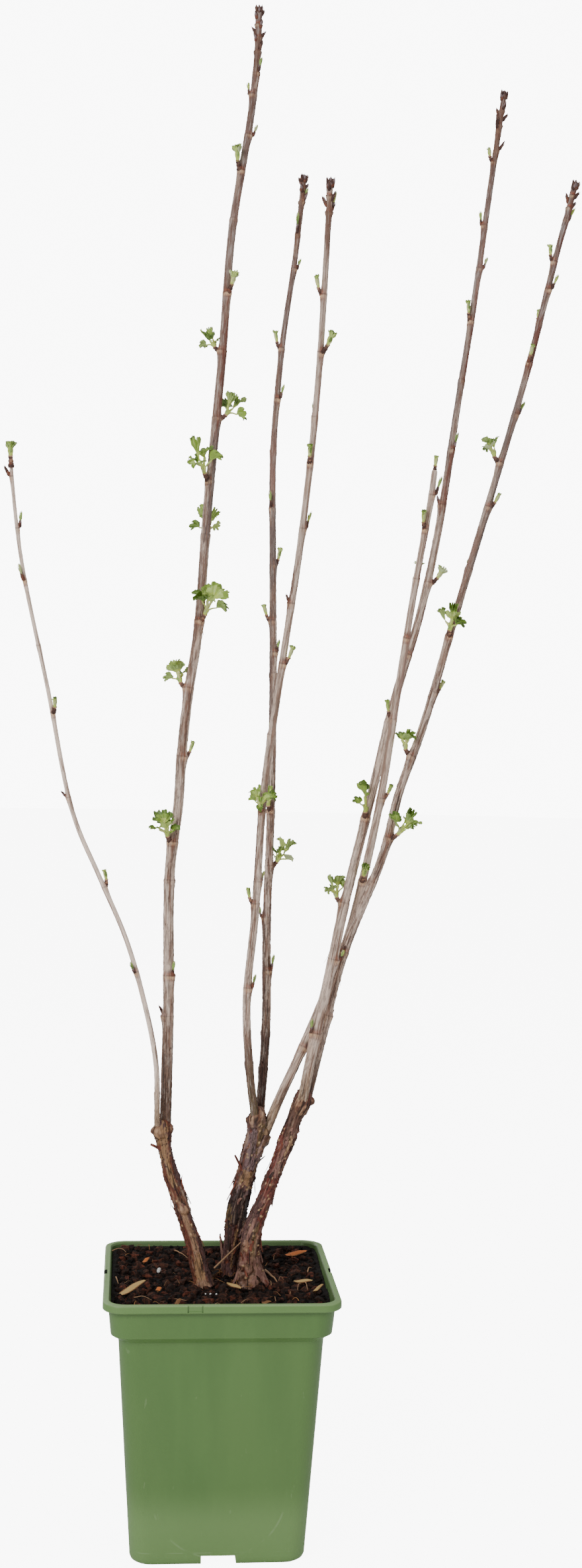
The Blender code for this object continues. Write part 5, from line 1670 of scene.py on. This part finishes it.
def wood_chip(bm, chip, rng, slots):
    """A blunt splinter of wood, torn across its ends, with a bark edge and one end a little raised."""
    x, y, length, width, turn, slope = chip
    along = Vector((math.cos(math.radians(turn)), math.sin(math.radians(turn)), slope))
    across = Vector((-along.y, along.x, 0.15))
    middle = Vector((x, y, soil_height(x, y) + 4.6 + 0.3 * abs(slope) * length))
    columns = (-1, -0.75, -0.35, 0.05, 0.4, 0.75, 1)
    torn = [[rng.uniform(-0.09, 0.09) for _ in columns] for _ in range(2)]
    rows = []
    for r in range(9):
        s = 2 * r / 8 - 1
        half = 0.5 * width * (1 - 0.10 * s**6) * rng.uniform(0.92, 1.06)
        row = []
        for t, low_tear, high_tear in zip(columns, *torn):
            reach = s + (high_tear if s > 0 else low_tear) * abs(s)
            rise = 0.7 * math.sin(2.6 * s + t) + 0.5 * (1 - t * t) + rng.uniform(-0.12, 0.12)
            row.append((middle + 0.5 * length * reach * along + half * t * across + Vector((0, 0, rise))) * MM)
        rows.append(row)
    face, edge = slots
    closed_sheet(bm, rows, 1.6 * MM, lambda row, column, below: edge if below or column in (0, 5) else face)


def lying_straw(bm, start, end, radius, slot):
    """A straw that follows the compost from one place to another."""
    path = []
    for k in range(9):
        s = k / 8
        x = start[0] + (end[0] - start[0]) * s
        y = start[1] + (end[1] - start[1]) * s + 2.5 * math.sin(4 * s + start[0])
        rise = soil_height(x, y) + 3.6 + 1.5 * math.sin(math.pi * s)
        path.append((Vector((x, y, rise)) * MM, radius * (1 - 0.6 * s) * MM))
    tapering_tube(bm, path, 6, slot)


def root_hair(bm, foot, rng, slot):
    """A fine curly root that springs from a trunk's foot."""
    turn, reach = rng.uniform(0, 2 * math.pi), rng.uniform(5, 11)
    path = []
    for k in range(8):
        s = k / 7
        angle = turn + 1.6 * s * math.sin(3 * turn)
        x = foot[0] + (foot[3] * 0.8 + reach * s) * math.cos(angle)
        y = foot[1] + (foot[3] * 0.8 + reach * s) * math.sin(angle)
        rise = soil_height(x, y) + 2.6 + 2.2 * math.sin(math.pi * min(1.2 * s, 1))
        path.append((Vector((x, y, rise)) * MM, (0.26 - 0.14 * s) * MM))
    tapering_tube(bm, path, 5, slot)


def white_grain(bm, x, y, radius, rng, slot):
    grain = bmesh.ops.create_icosphere(bm, subdivisions=2, radius=radius * MM)
    bmesh.ops.translate(bm, verts=grain["verts"], vec=Vector((x, y, soil_height(x, y) + 3.8)) * MM)
    for vert in grain["verts"]:
        vert.co += 0.3 * radius * MM * Vector((rng.uniform(-1, 1), rng.uniform(-1, 1), rng.uniform(-1, 1)))
        for face in vert.link_faces:
            face.material_index = slot


def make_litter():
    """What lies on the compost: wood chips, straws, fine roots, fibres and white grains, in mm."""
    rng = random.Random(5)
    bm = bmesh.new()
    tones = [plain("pale chip", srgb(184, 152, 94), 0.8), plain("orange chip", srgb(190, 104, 46), 0.8),
             plain("straw", srgb(158, 122, 88), 0.75), plain("white grain", srgb(226, 226, 222), 0.6),
             plain("root", srgb(158, 108, 60), 0.75), plain("chip edge", srgb(122, 84, 50), 0.85)]
    for *chip, slot in CHIPS:
        wood_chip(bm, chip, rng, (slot, 5))
    for start, end, radius in STRAWS:
        lying_straw(bm, start, end, radius, 2)
    for _ in range(FIBRES):
        x, y, turn, length = rng.uniform(-80, 80), rng.uniform(-80, 80), rng.uniform(0, 3.1), rng.uniform(4, 10)
        end = (x + length * math.cos(turn), y + length * math.sin(turn))
        if max(map(abs, end)) < 84:
            lying_straw(bm, (x, y), end, rng.uniform(0.18, 0.36), rng.choice((2, 4, 5)))
    start, end = (Vector(place) * MM for place in LEANING_STRAW)
    tapering_tube(bm, [(start.lerp(end, s), (0.8 - 0.35 * s) * MM) for s in (0, 0.25, 0.5, 0.75, 1)], 6, 2)
    for spec, count in zip(TRUNKS.values(), ROOT_HAIRS):
        for _ in range(count):
            root_hair(bm, spec["route"][0], rng, 4)
    for x, y, radius in GRAINS:
        white_grain(bm, x, y, radius, rng, 3)
    return finish_mesh("soil_litter", bm, tones, smooth_angle=50)


def glowing_floor():
    """The pale floor, which the camera sees a little brighter than the light on it makes it."""
    material, tree, shader = new_material("studio floor", 0.9)
    shader.inputs["Base Color"].default_value = (0.86, 0.86, 0.86, 1)
    shader.inputs["Emission Color"].default_value = (1, 1, 1, 1)
    ray = tree.nodes.new("ShaderNodeLightPath")
    tree.links.new(part(tree, ray.outputs["Is Camera Ray"], FLOOR_GLOW), shader.inputs["Emission Strength"])
    return material


def make_camera():
    yaw, pitch, roll = (math.radians(angle) for angle in (CAMERA_YAW, CAMERA_PITCH, CAMERA_ROLL))
    ahead = Vector((math.sin(yaw), math.cos(yaw), 0))
    right = Vector((math.cos(yaw), -math.sin(yaw), 0))
    up = Vector((0, 0, 1))
    view = math.cos(pitch) * ahead - math.sin(pitch) * up
    above = math.sin(pitch) * ahead + math.cos(pitch) * up
    side = math.cos(roll) * right + math.sin(roll) * above
    top = -math.sin(roll) * right + math.cos(roll) * above
    camera = bpy.data.cameras.new("camera")
    camera.lens = CAMERA_LENS
    camera.sensor_width = 36
    obj = bpy.data.objects.new("camera", camera)
    turn = Matrix((side, top, -view)).transposed().to_4x4()
    obj.matrix_world = Matrix.Translation(CAMERA_PLACE) @ turn
    bpy.context.scene.collection.objects.link(obj)
    bpy.context.scene.camera = obj


def make_light(name, place, target, size, power):
    light = bpy.data.lights.new(name, "AREA")
    light.shape = "DISK"
    light.size = size
    light.energy = power
    obj = bpy.data.objects.new(name, light)
    obj.location = place
    obj.rotation_euler = (Vector(target) - Vector(place)).to_track_quat("-Z", "Y").to_euler()
    bpy.context.scene.collection.objects.link(obj)


def make_studio():
    """A plain pale floor and backdrop, a broad light from the front left and softer ones around."""
    bm = bmesh.new()
    bmesh.ops.create_circle(bm, cap_ends=True, segments=64, radius=FLOOR_RADIUS)
    bmesh.ops.translate(bm, verts=bm.verts, vec=(0, 0, -0.0005))
    finish_mesh("studio_floor", bm, [glowing_floor()])
    make_light("front", (-1.6, -2.4, 2.2), (0, 0, 0.6), 1.4, 62)
    make_light("right", (2.3, -1.3, 1.5), (0, 0, 0.6), 1.6, 9)
    make_light("top", (0, 0.6, 3.0), (0, 0, 0.5), 2.2, 22)
    make_light("back", (-1.2, 2.4, 1.4), (0, 0, 0.7), 1.6, 12)
    world = bpy.data.worlds.new("studio")
    world.use_nodes = True
    tree = world.node_tree
    sky = tree.nodes["Background"]
    sky.inputs["Color"].default_value = (1, 1, 1, 1)
    ray = tree.nodes.new("ShaderNodeLightPath")
    seen = part(tree, ray.outputs["Is Camera Ray"], BACKDROP_GLOW)
    tree.links.new(maths(tree, "ADD", seen, WORLD_LIGHT), sky.inputs["Strength"])
    bpy.context.scene.world = world


def dress(obj, slot, *nodes):
    """Makes a piece ride on the part and lets it stand for nodes, whose own meshes it hides. The slot is not used."""
    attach(obj, "root")
    if nodes:
        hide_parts(*nodes)


def main():
    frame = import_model()
    nodes = sorted(frame["nodes"])
    make_camera()
    make_studio()
    streaks, blotches = grain_streaks(), mottling()
    cane_finish, trunk_finish = cane_bark(streaks), trunk_bark(streaks)
    courses = {name: trunk_course(spec) for name, spec in TRUNKS.items()}
    courses.update({name: cane_course(spec) for name, spec in CANES.items()})

    dress(make_pot(pot_plastic(blotches)), "pot", "pot")
    bed, *litter = make_soil(blotches)
    dress(bed, "soil", "soil")
    for piece in litter:
        dress(piece, "soil")
    shed = bmesh.new()
    rng = random.Random(11)
    for name, spec in TRUNKS.items():
        carried = {key: courses[key] for key in CANES if CANES[key]["trunk"] == name and key != "short_right"}
        dress(trunk_skin(name, courses[name], spec, carried, trunk_finish), "trunk", f"trunk_{name}")
        for start, end, radius in spec["spurs"]:
            a, b = Vector(start) * MM, Vector(end) * MM
            tapering_tube(shed, [(a.lerp(b, s), radius * MM * (1 - 0.35 * s)) for s in (0, 0.3, 0.6, 0.85, 1)], 9, 0)
        for _ in range(SMALL_FLAKES):
            height = rng.uniform(spec["route"][0][2] + 10, spec["route"][-1][2] - 14)
            length = rng.choice((-1, -1, 1)) * rng.uniform(4, 9)
            peeling_strip(shed, courses[name], (height, rng.uniform(0, 360), length, rng.uniform(1.4, 3.2),
                                                rng.uniform(0.6, 2.0), rng.choice((0, 0, 1, 3, 3))), rng)
    dress(trunk_skin("fork", trunk_course(FORK), FORK, {"short_right": courses["short_right"]}, trunk_finish), "trunk")
    for name, strips in LOOSE_BARK.items():
        for strip in strips:
            peeling_strip(shed, courses[name], strip, rng)
    flakes = [flake_bark(blotches, "rust flake", srgb(92, 46, 36), srgb(140, 74, 54)),
              flake_bark(blotches, "pink flake", srgb(120, 82, 72), srgb(162, 120, 106)),
              flake_bark(blotches, "tan flake", srgb(132, 98, 72), srgb(186, 150, 112)),
              flake_bark(blotches, "dark flake", srgb(44, 30, 28), srgb(74, 50, 44))]
    dress(finish_mesh("shed_bark", shed, flakes), "trunk")
    for name, spec in CANES.items():
        dress(cane_skin(name, courses[name], spec, cane_finish), "cane", f"cane_{name}")

    scales, greens, blades = bmesh.new(), bmesh.new(), bmesh.new()
    for name, spec in CANES.items():
        rng = random.Random(name)
        for bud in small_buds(courses[name], spec):
            if bud[4] == "tip":
                green_tip(scales, greens, bud, rng)
            else:
                scaly_bud(scales, *bud[:4], rng, ((0, 4, 5), (0, 2, 4)))
    plans = tuft_plans(courses)
    tree, radii = limb_tree(courses)
    for plan in plans:
        grow_tuft(plan, plans, tree, radii, scales, greens, blades)
    scale_tones = [plain("bud scale", srgb(108, 76, 64), 0.7), plain("pale bud scale", srgb(160, 118, 92), 0.7),
                   plain("grey bud scale", srgb(134, 114, 114), 0.7), plain("pink bud scale", srgb(204, 158, 128), 0.7),
                   plain("dark bud scale", srgb(76, 48, 40), 0.7), plain("rust bud scale", srgb(122, 72, 53), 0.7)]
    sheath_tones = [plain("sheath", srgb(198, 216, 102), 0.5, 0.12), plain("pale sheath", srgb(232, 236, 152), 0.5, 0.12),
                    plain("leaf stalk", srgb(206, 220, 118), 0.5, 0.12), plain("green tip", srgb(152, 180, 92), 0.5, 0.15),
                    plain("deep green tip", srgb(112, 138, 64), 0.5, 0.15), plain("yellow green tip", srgb(196, 204, 140), 0.5, 0.15)]
    leaf_tones = [plain("fresh leaf", srgb(200, 222, 122), 0.45, 0.15), plain("leaf", srgb(150, 180, 74), 0.45, 0.15),
                  plain("deep leaf", srgb(100, 130, 46), 0.45, 0.15), plain("leaf vein", srgb(190, 212, 122), 0.45, 0.15),
                  plain("leaf back", srgb(158, 182, 102), 0.55, 0.15), plain("pale leaf back", srgb(210, 224, 166), 0.55, 0.15), plain("leaf base", srgb(204, 222, 112), 0.5, 0.12)]
    dress(finish_mesh("bud_scales", scales, scale_tones), "cane")
    dress(finish_mesh("leaf_sheaths", greens, sheath_tones), "leaf")
    dress(finish_mesh("leaf_blades", blades, leaf_tones), "leaf", *[node for node in nodes if node.startswith("tuft_")])


main()
